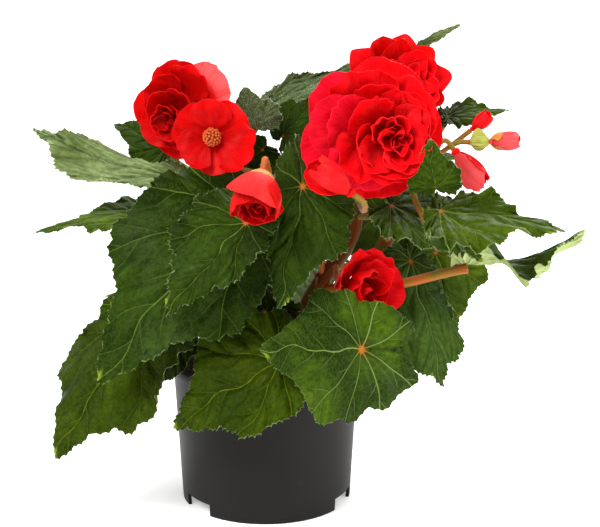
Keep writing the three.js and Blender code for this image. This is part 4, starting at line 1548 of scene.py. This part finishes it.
BRACTS = Layer(2, 0.5, 24, 66, 56, -0.07, 0.03)


class BloomForm(Enum):
    """The forms that a bloom takes, as whorls from the outside inwards."""

    DOUBLE = (
        Layer(5, 1.0, 3, 20, 50, 0.0, 0.05),
        Layer(5, 0.95, 10, 26, 48, 0.02, 0.055),
        Layer(5, 0.86, 20, 30, 46, 0.05, 0.055, 0.02, 5),
        Layer(5, 0.75, 29, 30, 44, 0.09, 0.05, 0.06, 9, 0.06),
        Layer(4, 0.66, 37, 26, 44, 0.13, 0.045, 0.16, 14, 0.1),
        Layer(4, 0.56, 45, 22, 40, 0.17, 0.04, 0.26, 18, 0.14),
        Layer(3, 0.46, 54, 18, 44, 0.2, 0.04, 0.34, 20, 0.16),
        Layer(3, 0.34, 66, 16, 48, 0.22, 0.03, 0.3, 16, 0.12),
    )
    HALF = (
        Layer(5, 1.0, 4, 22, 52, 0.0, 0.05),
        Layer(5, 0.92, 15, 32, 50, 0.03, 0.055, 0.02, 6),
        Layer(4, 0.78, 30, 38, 50, 0.07, 0.05, 0.06, 9),
        Layer(4, 0.6, 46, 38, 46, 0.12, 0.05, 0.16, 14, 0.06),
        Layer(3, 0.44, 60, 30, 50, 0.17, 0.04, 0.28, 16, 0.1),
    )
    LOOSE = (
        Layer(5, 1.0, 20, 38, 52, 0.0, 0.06, 0.0, 5),
        Layer(4, 0.86, 34, 44, 52, 0.03, 0.06, 0.05, 9),
        Layer(4, 0.7, 48, 46, 48, 0.06, 0.055, 0.1, 13, 0.06),
        Layer(3, 0.52, 58, 42, 50, 0.1, 0.05, 0.2, 16, 0.08),
    )
    SINGLE = (
        Layer(3, 1.0, 6, 14, 60, 0.0, 0.05, 0.0, 4),
        Layer(3, 0.9, 18, 14, 52, 0.04, 0.06, 0.04, 6),
    )
    CUP = (
        Layer(4, 1.0, 26, 86, 62, 0.0, 0.02),
        Layer(4, 0.84, 38, 74, 50, 0.04, 0.04, 0.03),
        Layer(4, 0.68, 50, 68, 50, 0.08, 0.05, 0.08, 6),
        Layer(4, 0.5, 60, 56, 46, 0.12, 0.05, 0.2, 10),
    )
    BUD = (
        Layer(3, 1.0, 50, 60, 52, 0.0, 0.03, 0.0, 4, 0.05),
        Layer(3, 0.92, 58, 58, 54, 0.03, 0.02, 0.0, 4, 0.05),
        Layer(3, 0.84, 64, 56, 60, 0.06, 0.02, 0.0, 4, 0.05),
    )
    CLOSED = (
        Layer(2, 1.0, 40, 84, 74, 0.0, 0.005, 0.0, 1.0),
        Layer(2, 0.95, 42, 84, 74, 0.03, 0.005, 0.0, 1.0),
    )


@dataclass
class Bloom:
    """One bloom or bud: where it stands, its form and its colours.

    It leaves its stem at start, a share of the stem's length, stands at root and opens towards axis. Petals
    are counted from 1: those in pale take the second tone, and stretch lengthens single ones. eye shifts the
    inner whorls aside, in millimetres, and peak draws each petal out to a point.
    """

    name: str
    stem: str
    start: float
    form: BloomForm
    root: Triple
    axis: Triple
    length: float
    turn: float = 0.0
    via: Sequence[Triple] = ()
    ovary: bool = False
    stamens: bool = False
    tone: PetalTone = PetalTone.CORAL
    second: PetalTone = PetalTone.PINK
    pale: Sequence[int] = ()
    eye: Pair = (0.0, 0.0)
    peak: float = 0.0
    stretch: Sequence[Pair] = ()
    bracts: bool = False

    def placement(self) -> Matrix:
        """Turns the bloom's own +Z to its axis and moves its petals' roots to their place."""
        turn = Vector((0, 0, 1)).rotation_difference(Vector(self.axis)).to_matrix().to_4x4()
        return Matrix.Translation(Vector(self.root)) @ turn

    def stalk_end(self) -> list[Vector]:
        """The last two points of its stalk, just behind its core or its ovary.

        Returns:
            The two points.
        """
        axis = Vector(self.axis).normalized()
        back = CORE_BACK * self.length + CLEARANCE + (OVARY_LENGTH + CLEARANCE if self.ovary else 0)
        end = Vector(self.root) - axis * back
        return [end - axis * FLOWER_STALK_TAIL, end]

    def petal_place(self, layer: Layer, i: int, seed: int, draw: random.Random) -> Place:
        """How a petal's flat sheet is bent.

        Args:
            layer: the whorl that it stands in.
            i: which petal of the whorl it is.
            seed: a number of its own, for its waves.
            draw: the seeded source of chance.

        Returns:
            The function that places its corners.
        """
        length = self.length * layer.size * draw.uniform(*PETAL_LENGTHS)
        length *= dict(self.stretch).get(seed, 1.0)
        rise = math.radians(layer.rise + draw.uniform(-layer.wander, layer.wander))
        bend = math.radians(layer.curl + draw.uniform(-layer.wander, layer.wander)) / length
        half = math.radians(layer.half_angle)
        spacing = 2 * math.pi / layer.count
        core = CORE_RADIUS * self.length * min(0.5, 0.2 + 0.5 * layer.size)
        whorl = 0 if layer is BRACTS else self.form.value.index(layer)
        turn = (i + 0.5 * (whorl % 2)) * spacing + math.radians(self.turn) + WHORL_TURN * (whorl // 2)
        turn += math.radians(draw.uniform(-1.2, 1.2) * (layer.wander - 3))
        placement = self.placement()
        inward = smooth(layer.size, 1.0, 0.5)

        def place(column: float, share: float) -> Vector:
            """A corner of the petal.

            Args:
                column: the share of the way across.
                share: the share of the way from root to margin.

            Returns:
                Its place.
            """
            angle = mix(-half, half, column)
            edge = abs(angle / half)
            reach = length * share * (1 - PETAL_ROUNDING * edge**2.5)
            reach *= 1 + PETAL_UNEVEN * noise.noise(Vector((4 * column, 5.0 * seed, 0.5)))
            reach *= 1 + (layer.point + self.peak) * math.exp(-((edge / PEAK_WIDTH) ** 2)) * share**2
            slope = rise + bend * reach
            out = max(core + (math.sin(slope) - math.sin(rise)) / bend, 0.6 * core)
            up = (math.cos(rise) - math.cos(slope)) / bend
            azimuth = angle * min(reach / out, PETAL_WRAP)
            wave = 0.0
            for across, along, shift, gain in RUFFLE_WAVES:
                spot = Vector((across * angle / half, along * share, 7.0 * seed + shift))
                wave += gain * noise.noise(spot)
            ruffle = layer.ruffle * length * share**1.5 * RUFFLE_GAIN * wave
            fold = layer.crease * length * math.sin(math.pi * min(share, CREASE_END)) * (edge - CREASE_START)
            back = PETAL_LAP * self.length * layer.size * share * azimuth / spacing + ruffle - fold
            radius = out + back * math.sin(slope)
            height = layer.height * self.length + up - back * math.cos(slope)
            flat = Vector((radius * math.cos(azimuth + turn), radius * math.sin(azimuth + turn), height))
            flat.x += self.eye[0] * inward
            flat.y += self.eye[1] * inward
            return placement @ flat

        return place

    def build(self, finishes: dict[PetalTone, list[Material]], leafy: Material) -> list[Object]:
        """Makes its petals, and the bracts under them, and puts them on the plant.

        Args:
            finishes: the front, back and rim of each kind of petal.
            leafy: the material of the bracts.

        Returns:
            The pieces.
        """
        draw = random.Random(self.name)
        sheets = SheetMesh()
        seed = 0
        for layer in [*self.form.value, *([BRACTS] if self.bracts else [])]:
            fine = layer.size * self.length > FINE_PETAL
            for i in range(layer.count):
                seed += 1
                slot = BRACT_SLOT if layer is BRACTS else SECOND_SLOT if seed in self.pale else 0
                place = self.petal_place(layer, i, seed, draw)
                sheets.add(*(FINE_PETAL_GRID if fine else PETAL_GRID), place, slot=slot)
        sheets.mark_margins()
        worn = [*finishes[self.tone], *finishes[self.second], leafy, leafy, leafy]
        petals = Piece(self.name + "_petals", sheets.bm, worn).thicken(PETAL_THICKNESS)
        core = SheetMesh()
        self.add_core(core)
        heart = Piece(self.name + "_core", core.bm, [finishes[self.tone][1]])
        return [petals.place("petal", self.name), heart.place("petal")]

    def add_core(self, mesh: SheetMesh) -> None:
        """Adds the small core that the petals stand on.

        Args:
            mesh: the mesh that it is added to.
        """
        radius, back = CORE_RADIUS * self.length, CORE_BACK * self.length
        levels = [(-back - CLEARANCE, 0.0), *((back * along, size) for along, size in CORE_OUTLINE)]
        placement = self.placement()
        path = [placement @ Vector((0, 0, height)) for height, _ in levels]
        mesh.tube(path, [radius * share for _, share in levels], 12)

    def build_ovary(self, flesh: Material) -> Object:
        """Makes the green ovary behind the bud, with its three wings.

        Args:
            flesh: its material.

        Returns:
            The piece.
        """
        mesh = SheetMesh()
        front = -(CORE_BACK * self.length + CLEARANCE)
        placement = self.placement()
        path = [placement @ Vector((0, 0, front - OVARY_LENGTH * (1 - share))) for share, _ in OVARY_OUTLINE]
        mesh.tube(path, [OVARY_RADIUS * radius for _, radius in OVARY_OUTLINE], 16)
        for i in range(OVARY_WINGS):
            turn = (2 * i + 0.5) * math.pi / OVARY_WINGS

            def place(column: float, share: float, turn: float = turn) -> Vector:
                """A corner of a wing: a rounded fin along the ovary.

                Args:
                    column: the share of the way along the ovary.
                    share: the share of the way out from it.
                    turn: the angle that the wing stands at.

                Returns:
                    Its place.
                """
                low = front - OVARY_LENGTH * (1 - column)
                tall = mix(OVARY_RADIUS * 0.5, OVARY_WING, math.sin(math.pi * column**0.8) * share)
                ripple = 0.5 * math.sin(5 * column + i) * share
                return placement @ (Matrix.Rotation(turn, 4, "Z") @ Vector((tall, ripple, low)))

            mesh.add(10, 5, place)
        bmesh.ops.recalc_face_normals(mesh.bm, faces=mesh.bm.faces)
        ovary = Piece(self.name + "_ovary_flesh", mesh.bm, [flesh, flesh, flesh]).thicken(OVARY_WALL)
        return ovary.place("ovary", self.name + "_ovary")

    def build_stamens(self, yellow: Material) -> Object:
        """Makes the boss of stamens in the open bloom.

        Args:
            yellow: their material.

        Returns:
            The piece.
        """
        mesh = SheetMesh()
        base = 0.14 * self.length + CLEARANCE
        placement = self.placement()
        path = [placement @ Vector((0, 0, base + height)) for height, _ in BOSS_OUTLINE]
        mesh.tube(path, [radius for _, radius in BOSS_OUTLINE], 14)
        for i in range(STAMENS):
            lean = STAMEN_SPREAD * math.sqrt((i + 0.5) / STAMENS)
            turn = i * GOLDEN_ANGLE
            way = Vector((math.sin(lean) * math.cos(turn), math.sin(lean) * math.sin(turn), math.cos(lean)))
            start = Vector((0, 0, base + 1.4)) + way * 2.0
            path = [placement @ (start + way * along) for along, _ in STAMEN_OUTLINE]
            mesh.tube(path, [radius for _, radius in STAMEN_OUTLINE], 6)
        return Piece(self.name + "_stamen_boss", mesh.bm, [yellow]).place("stamen", self.name + "_stamens")


BLOOMS = [
    Bloom("bloom_front", "stem_centre", 0.97, BloomForm.DOUBLE, (67, -70, 273), (0.12, -0.98, 0.1), 43,
          pale=(3, 4, 8, 9, 13), eye=(15, -2)),
    Bloom("bloom_top", "stem_back", 0.97, BloomForm.DOUBLE, (88, 12, 287), (0.25, -0.85, 0.45), 30, 20,
          second=PetalTone.SCARLET, pale=(6, 7, 8, 12, 17), eye=(5, -4), peak=0.22,
          stretch=((2, 0.9),)),
    Bloom("bloom_left", "stem_left", 0.97, BloomForm.HALF, (-49, -20, 278), (-0.25, -0.92, 0.1), 33, 24,
          tone=PetalTone.SCARLET, second=PetalTone.SHELL, pale=(1,), eye=(-11, -5), peak=0.05),
    Bloom("bloom_single", "stem_left", 0.97, BloomForm.SINGLE, (-31, -66, 268), (-0.1, -0.95, 0.1), 26, 30,
          via=((-32, -12, 246), (-23, -42, 254)), stamens=True, tone=PetalTone.SCARLET,
          stretch=((3, 0.86), (4, 1.05), (6, 1.24))),
    Bloom("bloom_nodding", "stem_left", 0.97, BloomForm.CUP, (0, -106, 252), (-0.15, -0.7, -0.68), 35, 42,
          via=((-16, -20, 236), (2, -56, 239), (4, -82, 249)),
          tone=PetalTone.SCARLET, second=PetalTone.BLUSH, pale=(1,), bracts=True),
    Bloom("bud_opening", "stem_centre", 0.97, BloomForm.BUD, (54, -100, 240), (-0.75, -0.25, 0.6), 30.5,
          via=((64, -68, 220),), second=PetalTone.BLUSH, pale=(1,)),
    Bloom("bloom_inner", "stem_centre", 0.7, BloomForm.LOOSE, (56, -49, 166), (0.66, -0.72, 0.05), 32, 20,
          tone=PetalTone.SCARLET, second=PetalTone.CORAL, pale=(1, 2, 3, 6, 7), peak=0.1),
    Bloom("bloom_inner_small", "stem_right", 0.8, BloomForm.CLOSED, (84, -24, 196), (0.2, -0.6, 0.75), 20,
          tone=PetalTone.SCARLET),
    Bloom("bud_right_outer", "stem_right", 0.97, BloomForm.CLOSED, (152, 0, 251), (1, -0.1, 0.05), 21,
          ovary=True, tone=PetalTone.ROSE, bracts=True),
    Bloom("bud_right_inner", "stem_right", 0.97, BloomForm.CLOSED, (140, 14, 257), (0.75, -0.1, 0.65), 16.5,
          tone=PetalTone.CORAL),
    Bloom("bloom_right", "stem_right", 0.97, BloomForm.BUD, (128, -4, 244), (0.65, -0.3, -0.7), 30,
          tone=PetalTone.CORAL, second=PetalTone.ROSE, pale=(1, 3, 5)),
    Bloom("bloom_back", "stem_back", 0.97, BloomForm.LOOSE, (34, 76, 258), (0.2, 0.85, 0.5), 26),
]


# Stems.

FLOWER_STALK_RADIUS = 1.7
STEM_SIDES = 20
STALK_SIDES = 10
STALK_STEPS = 6
KNOT_SWELL = 0.14
ROOT_SWELL = 0.45
END_SWELL = 0.16
HAIRS_ROUND = 1.6
HAIR_SINK = 0.97
BRACT_LENGTHS = (8, 13)
BRACT_WIDTH = 3.2


@dataclass
class Stem:
    """One fleshy stem with the stalks that leave it."""

    name: str
    radius: float
    route: Sequence[Triple]
    hair_every: float = 0.8

    def __post_init__(self) -> None:
        """Works out the stem's smooth middle line and its length."""
        self.path = smooth_path([Vector(point) for point in self.route], 8)
        self.runs = [0.0]
        for start, end in zip(self.path, self.path[1:]):
            self.runs.append(self.runs[-1] + (end - start).length)

    def at(self, share: float) -> Vector:
        """The place at a share of the stem's length.

        Args:
            share: the share.

        Returns:
            The place.
        """
        goal = share * self.runs[-1]
        i = next(k for k in range(1, len(self.runs)) if self.runs[k] >= goal - 1e-9)
        span = self.runs[i] - self.runs[i - 1]
        return self.path[i - 1].lerp(self.path[i], (goal - self.runs[i - 1]) / span)

    def stalk_path(self, start: float, via: Sequence[Triple], end: Sequence[Vector]) -> list[Vector]:
        """The middle line of a stalk.

        Args:
            start: the share of the stem's length at which it leaves.
            via: the points that it passes.
            end: its last two points.

        Returns:
            The points of the line.
        """
        root = self.at(start)
        bends = [Vector(point) for point in via] or [smooth_path([root, *end], 4)[2]]
        return smooth_path([root, *bends, *end], STALK_STEPS)

    def add_stalk(self, mesh: SheetMesh, path: Sequence[Vector], radius: float, slot: int) -> None:
        """Adds a stalk that swells a little where it leaves the stem and where it ends.

        Args:
            mesh: the mesh that it is added to.
            path: its middle line.
            radius: its radius.
            slot: its material slot.
        """
        last = len(path) - 1
        line = [path[0], *path, path[-1] + (path[-1] - path[-2]).normalized() * 0.4]
        swell = [1 + ROOT_SWELL * math.exp(-3 * i) + END_SWELL * math.exp(i - last) for i in range(last + 1)]
        mesh.tube(line, [0.0, *(radius * share for share in swell), 0.0], STALK_SIDES, slot)

    def hairs(self, path: Sequence[Vector], radius: float, draw: random.Random) -> list[Hair]:
        """Fine hairs that stand out all round a stalk.

        Args:
            path: its middle line.
            radius: its radius.
            draw: the seeded source of chance.

        Returns:
            The root, the tip and the radius of each hair.
        """
        hairs = []
        for (start, end), (side, up) in zip(zip(path, path[1:]), turning_frames(path)):
            for _ in range(int((end - start).length / self.hair_every * HAIRS_ROUND)):
                angle = draw.uniform(0, 2 * math.pi)
                way = side * math.cos(angle) + up * math.sin(angle)
                root = start.lerp(end, draw.random()) + way * radius * HAIR_SINK
                lean = (end - start).normalized() * draw.uniform(-0.5, 0.5)
                tip = root + (way + lean).normalized() * draw.uniform(0.7, 1.6)
                hairs.append((root, tip, DOWN_RADIUS))
        return hairs

    def build(self, flesh: Sequence[Material], hair: Material) -> list[Object]:
        """Makes the stem, its stalks, its bracts and its hairs.

        Args:
            flesh: the materials of the stem, the stalks and the bracts.
            hair: the material of the hairs.

        Returns:
            The pieces.
        """
        mesh = SheetMesh()
        draw = random.Random(self.name)
        line = [self.path[0], *self.path, self.path[-1] + Vector((0, 0, self.radius * 0.6))]
        knots = [max(0.0, math.sin(0.9 * i)) ** 6 for i in range(len(self.path))]
        swell = [self.radius * (1 + KNOT_SWELL * knot) for knot in knots]
        swell[-1] *= 0.8
        mesh.tube(line, [0.0, *swell, 0.0], STEM_SIDES)
        hairs = []
        for thing in [*LEAVES, *BLOOMS]:
            if thing.stem != self.name:
                continue
            radius = LEAF_STALK_RADIUS * thing.girth if isinstance(thing, Leaf) else FLOWER_STALK_RADIUS
            path = self.stalk_path(thing.start, thing.via, thing.stalk_end())
            self.add_stalk(mesh, path, radius, 1)
            hairs += self.hairs(path[2:], radius, draw)
            self.add_bract(mesh, self.at(thing.start), path[1] - path[0], draw)
        body = Piece(self.name + "_flesh", mesh.bm, flesh)
        down = SheetMesh()
        down.spikes(hairs)
        fuzz = Piece(self.name + "_hairs", down.bm, [hair])
        return [body.place("stem", self.name), fuzz.place("stem")]

    def add_bract(self, mesh: SheetMesh, root: Vector, way: Vector, draw: random.Random) -> None:
        """Adds the small papery bract at the foot of a stalk.

        Args:
            mesh: the mesh that it is added to.
            root: where the stalk leaves the stem.
            way: the stalk's first direction.
            draw: the seeded source of chance.
        """
        out = (way.normalized() + Vector((0, 0, 0.9))).normalized()
        side = out.orthogonal().normalized()
        side = Quaternion(out, draw.uniform(0, 2 * math.pi)) @ side
        across = out.cross(side)
        length = draw.uniform(*BRACT_LENGTHS)
        foot = root + side * self.radius * 0.75 - out * 2

        def place(column: float, share: float) -> Vector:
            """A corner of the bract: a pointed scoop.

            Args:
                column: the share of the way across.
                share: the share of the way from root to point.

            Returns:
                Its place.
            """
            half = BRACT_WIDTH * math.sin(math.pi * min(share * 0.92 + 0.08, 1.0) ** 0.8) * (2 * column - 1)
            cup = 0.16 * half * half / BRACT_WIDTH
            bow = 1.2 * share + 2.2 * share**2 - cup
            return foot + out * (length * share) + across * half + side * bow

        mesh.add(6, 7, place, slot=2)


STEMS = [
    Stem("stem_centre", 5.5,
         ((8, -12, 66.3), (8, -12, 90), (11, -12, 104), (34, -16, 152), (57, -24, 192), (62, -26, 222))),
    Stem("stem_right", 5,
         ((32, 14, 66.3), (32, 14, 90), (36, 14, 104), (66, 14, 150), (90, 14, 195), (100, 12, 230))),
    Stem("stem_left", 5,
         ((-20, -2, 66.3), (-20, -2, 90), (-22, -2, 104), (-36, 0, 150), (-40, 0, 195), (-36, 2, 230))),
    Stem("stem_back", 5,
         ((2, 32, 66.3), (2, 32, 90), (2, 33, 104), (2, 40, 150), (8, 42, 200), (18, 36, 240))),
]


# Pot and soil.

FULL_TURN = 2 * math.pi
CREASE_ANGLE = math.radians(32)


@dataclass
class NurseryPot:
    """The round pot with its lip, its notched skirt and its dished floor. Sizes are in millimetres."""

    height: float = 100.0
    top_radius: float = 64.0
    base_radius: float = 58.5
    wall: float = 1.6
    lip_height: float = 7.0
    lip_proud: float = 1.5
    skirt_height: float = 8.0
    skirt_width: float = 2.4
    notches: int = 3
    notch_width: float = 26.0
    front_turn: float = 7.0
    pad_radius: float = 14.0
    floor_corner: float = 5.0
    steps: int = 144

    def radius(self, z: float) -> float:
        """The outer radius of the wall at a height."""
        return mix(self.base_radius, self.top_radius, z / self.height)

    def shell_outline(self) -> list[Pair]:
        """The outline of the pot without its feet, from its axis out, up, and back in.

        Returns:
            Pairs of radius and height.
        """
        lip = self.height - self.lip_height
        proud = self.radius(self.height) + self.lip_proud
        floor = self.skirt_height + self.wall
        return [
            (0, 0),
            (self.pad_radius, 0),
            (self.pad_radius + 2, self.skirt_height),
            (self.radius(self.skirt_height) - 0.8, self.skirt_height),
            (self.radius(self.skirt_height), self.skirt_height + 0.8),
            (self.radius(lip - 1), lip - 1),
            (proud - 0.3, lip + 0.2),
            (proud, lip + 1),
            (proud, self.height - 1.2),
            (proud - 0.35, self.height - 0.35),
            (proud - 1.2, self.height),
            (self.radius(self.height) - self.wall + 0.5, self.height),
            (self.radius(self.height) - self.wall, self.height - 0.6),
            (self.radius(floor + self.floor_corner) - self.wall, floor + self.floor_corner),
            (self.radius(floor) - self.wall - 1.5, floor + 1.5),
            (self.radius(floor) - self.wall - self.floor_corner, floor),
            (self.pad_radius, floor),
            (self.pad_radius - 2, self.wall),
            (0, self.wall),
        ]

    def foot_outline(self) -> list[Pair]:
        """The outline of a foot, whose top lies inside the wall.

        Returns:
            Pairs of radius and height.
        """
        top = self.skirt_height + 1.2
        return [
            (self.base_radius - self.skirt_width, 0),
            (self.base_radius - 0.4, 0),
            (self.base_radius, 0.4),
            (self.radius(top) - 0.02, top),
            (self.radius(top) - self.skirt_width, top),
        ]

    def spin(self, bm: bmesh.types.BMesh, outline: Sequence[Pair], start: float, angle: float) -> None:
        """Turns an outline round the pot's axis. Where it stops short of a full turn, its ends get faces.

        Args:
            bm: the mesh that it is added to.
            outline: pairs of radius and height.
            start: the angle that it starts from.
            angle: the angle that it is turned by.
        """
        full = angle >= FULL_TURN
        turn = Matrix.Rotation(start, 4, "Z")
        verts = [bm.verts.new(turn @ Vector((radius * MM, 0, z * MM))) for radius, z in outline]
        edges = [bm.edges.new(pair) for pair in zip(verts, verts[1:] if full else verts[1:] + verts[:1])]
        ends = [] if full else [bm.faces.new(verts)]
        steps = round(self.steps * angle / FULL_TURN)
        bmesh.ops.spin(
            bm, geom=[*verts, *edges, *ends], cent=(0, 0, 0), axis=(0, 0, 1), angle=angle, steps=steps,
            use_merge=full,
        )
        bmesh.ops.remove_doubles(bm, verts=list(bm.verts), dist=WELD)

    def build(self, plastic: Material) -> Object:
        """Makes the pot and puts it under the plant.

        Args:
            plastic: its material.

        Returns:
            The piece.
        """
        bm = bmesh.new()
        self.spin(bm, self.shell_outline(), 0.0, FULL_TURN)
        notch = 2 * math.asin(self.notch_width / 2 / self.base_radius)
        foot = FULL_TURN / self.notches - notch
        for i in range(self.notches):
            middle = math.radians(self.front_turn) - math.pi / 2 + FULL_TURN * i / self.notches
            self.spin(bm, self.foot_outline(), middle - foot / 2, foot)
        bmesh.ops.recalc_face_normals(bm, faces=bm.faces)
        for face in bm.faces:
            face.smooth = True
        for edge in bm.edges:
            edge.smooth = edge.calc_face_angle(0.0) < CREASE_ANGLE
        return Piece("pot_shell", bm, [plastic]).place("pot_plastic", "pot")


@dataclass
class Soil:
    """The potting soil, with crumbs on it. Sizes are in millimetres."""

    top: float = 90.0
    radius: float = 61.6
    depth: float = 26.0
    rim: float = 0.92
    taper: float = 0.03
    crumbs: int = 620
    crumb_reach: float = 59.5
    crumb_sizes: Sequence[float] = (0.7, 0.9, 1.2, 1.6, 2.3)
    seed: int = 11

    def height(self, x: float, y: float) -> float:
        """The height of the uneven surface."""
        swell = 1.2 * math.sin(x * 0.31) * math.cos(y * 0.27)
        return self.top + swell * 0.6 + 1.6 * noise.noise(Vector((x * 0.16, y * 0.16, 3.0)))

    def build(self, dark: Material, grain: Material) -> Object:
        """Makes the soil and puts it in the pot.

        Args:
            dark: the material of its surface.
            grain: the material of its crumbs.

        Returns:
            The piece.
        """
        mesh = SheetMesh()

        def place(column: float, share: float) -> Vector:
            """A corner of the surface, whose outermost rings go down along the pot's wall.

            Args:
                column: the share of the way round.
                share: the share of the way from the middle to the lowest ring.

            Returns:
                Its place.
            """
            angle = FULL_TURN * column
            reach = self.radius * min(share / self.rim, 1)
            x, y = reach * math.cos(angle), reach * math.sin(angle)
            sunk = self.depth * smooth(share, self.rim, 1.0)
            inset = 1 - self.taper if sunk > 0 else 1
            return Vector((x * inset, y * inset, self.height(x, y) - sunk))

        mesh.add(90, 40, place)
        draw = random.Random(self.seed)
        centres = []
        for _ in range(self.crumbs):
            reach, angle = self.crumb_reach * math.sqrt(draw.random()), draw.uniform(0, FULL_TURN)
            x, y = reach * math.cos(angle), reach * math.sin(angle)
            size = draw.choice(self.crumb_sizes)
            centres.append((Vector((x, y, self.height(x, y) + size * 0.25)), size))
        mesh.lumps(centres, 1)
        return Piece("soil_bed", mesh.bm, [dark, grain]).place("soil", "soil")


# Studio.


@dataclass(frozen=True)
class SoftLight:
    """A soft square light: its place and aim in millimetres, its side in metres and its power in watts."""

    name: str
    place: Triple
    aim: Triple
    side: float
    power: float

    def build(self) -> None:
        """Puts the light in the studio."""
        light = bpy.data.lights.new(self.name, "AREA")
        light.size = self.side
        light.energy = self.power
        lamp = bpy.data.objects.new(self.name, light)
        lamp.location = Vector(self.place) * MM
        lamp.rotation_mode = "QUATERNION"
        lamp.rotation_quaternion = (Vector(self.aim) - Vector(self.place)).to_track_quat("-Z", "Y")
        bpy.context.scene.collection.objects.link(lamp)


@dataclass(frozen=True)
class Studio:
    """The pale floor, the soft lights and the camera. The camera's angle is in degrees below level."""

    camera_place: Triple = (23.5, -1200.0, 497.0)
    camera_down: float = 15.4
    lens: float = 109.74
    sensor: float = 36.0
    floor: float = 3000.0
    floor_glow: float = 0.4
    ambient: float = 0.46
    lights: Sequence[SoftLight] = (
        SoftLight("key", (-600, -900, 1250), (20, 0, 180), 0.6, 31),
        SoftLight("side", (1150, -420, 330), (40, 0, 100), 0.55, 9),
        SoftLight("rim", (500, 800, 1000), (20, 0, 200), 0.6, 12),
        SoftLight("far", (0, 2600, 2200), (0, 2700, 0), 3.0, 70),
    )

    def build_floor(self) -> None:
        """Makes the white floor."""
        bm = bmesh.new()
        bmesh.ops.create_grid(bm, x_segments=1, y_segments=1, size=self.floor * MM)
        shader = Shader("floor_white")
        clouds = shader.noise(shader.place(), 2.0)
        shader.set(base_color=shader.blend(clouds, (0.93, 0.93, 0.93), (0.95, 0.95, 0.95)), roughness=0.9)
        shader.set(emission_color=(1.0, 1.0, 1.0), emission_strength=self.floor_glow)
        mesh = bpy.data.meshes.new("floor")
        bm.to_mesh(mesh)
        bm.free()
        mesh.materials.append(shader.material)
        floor = bpy.data.objects.new("floor", mesh)
        bpy.context.scene.collection.objects.link(floor)

    def white_room(self) -> bpy.types.World:
        """White surroundings, which light the plant less than they shine themselves.

        Returns:
            The surroundings.
        """
        world = bpy.data.worlds.new("white_room")
        world.use_nodes = True
        tree = world.node_tree
        path = tree.nodes.new("ShaderNodeLightPath")
        strength = tree.nodes.new("ShaderNodeMapRange")
        strength.inputs["To Min"].default_value = self.ambient
        strength.inputs["To Max"].default_value = 1.0
        surround = tree.nodes["Background"]
        surround.inputs["Color"].default_value = (1, 1, 1, 1)
        tree.links.new(path.outputs["Is Camera Ray"], strength.inputs["Value"])
        tree.links.new(strength.outputs[0], surround.inputs["Strength"])
        return world

    def build(self) -> None:
        """Makes the floor, the lights, the white surroundings and the camera."""
        self.build_floor()
        for light in self.lights:
            light.build()
        bpy.context.scene.view_settings.view_transform = "Standard"
        bpy.context.scene.world = self.white_room()
        camera = bpy.data.cameras.new("camera")
        camera.lens = self.lens
        camera.sensor_width = self.sensor
        seat = bpy.data.objects.new("camera", camera)
        seat.location = Vector(self.camera_place) * MM
        seat.rotation_euler = (math.radians(90 - self.camera_down), 0, 0)
        bpy.context.scene.collection.objects.link(seat)
        bpy.context.scene.camera = seat


def write_sizes() -> None:
    """Brings the scene's placements up to date."""
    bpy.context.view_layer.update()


def report(*pieces: Object) -> None:
    """Logs each piece with the number of its faces."""
    for piece in pieces:
        LOG.info("%s: %d faces", piece.name, len(piece.data.polygons))


def build_foliage(hair: Material, down: Material) -> None:
    """Builds the stems and the leaves.

    Args:
        hair: the material of the hairs on stems, stalks and margins.
        down: the material of the down on young leaves.
    """
    flesh = [finish.material() for finish in (STEM_FLESH, STALK_FLESH, BRACT_FLESH)]
    for stem in STEMS:
        report(*stem.build(flesh, hair))
    finishes = {tone: [tone.value.upper(), tone.value.underside(), tone.value.rim()] for tone in LeafTone}
    for leaf in LEAVES:
        report(*leaf.build(finishes, [hair, down]))


def build_blooms() -> None:
    """Builds the blooms and buds, with the ovary and the stamens that show."""
    finishes = {tone: tone.value.finishes() for tone in PetalTone}
    ovary = OVARY_FLESH.material()
    leafy = BLOOM_BRACT_FLESH.material()
    yellow = STAMEN_YELLOW.material()
    for bloom in BLOOMS:
        report(*bloom.build(finishes, leafy))
        if bloom.ovary:
            report(bloom.build_ovary(ovary))
        if bloom.stamens:
            report(bloom.build_stamens(yellow))


def main() -> None:
    """Builds the studio, the pot, the soil and the plant, in this order."""
    logging.basicConfig(level=logging.INFO, format="%(message)s")
    Studio().build()
    report(NurseryPot().build(PotFinish().material()))
    report(Soil().build(SOIL_DARK.material(), SOIL_GRAIN.material()))
    build_foliage(HAIR.material(), DOWN.material())
    build_blooms()
    write_sizes()


if __name__ == "__main__":
    main()
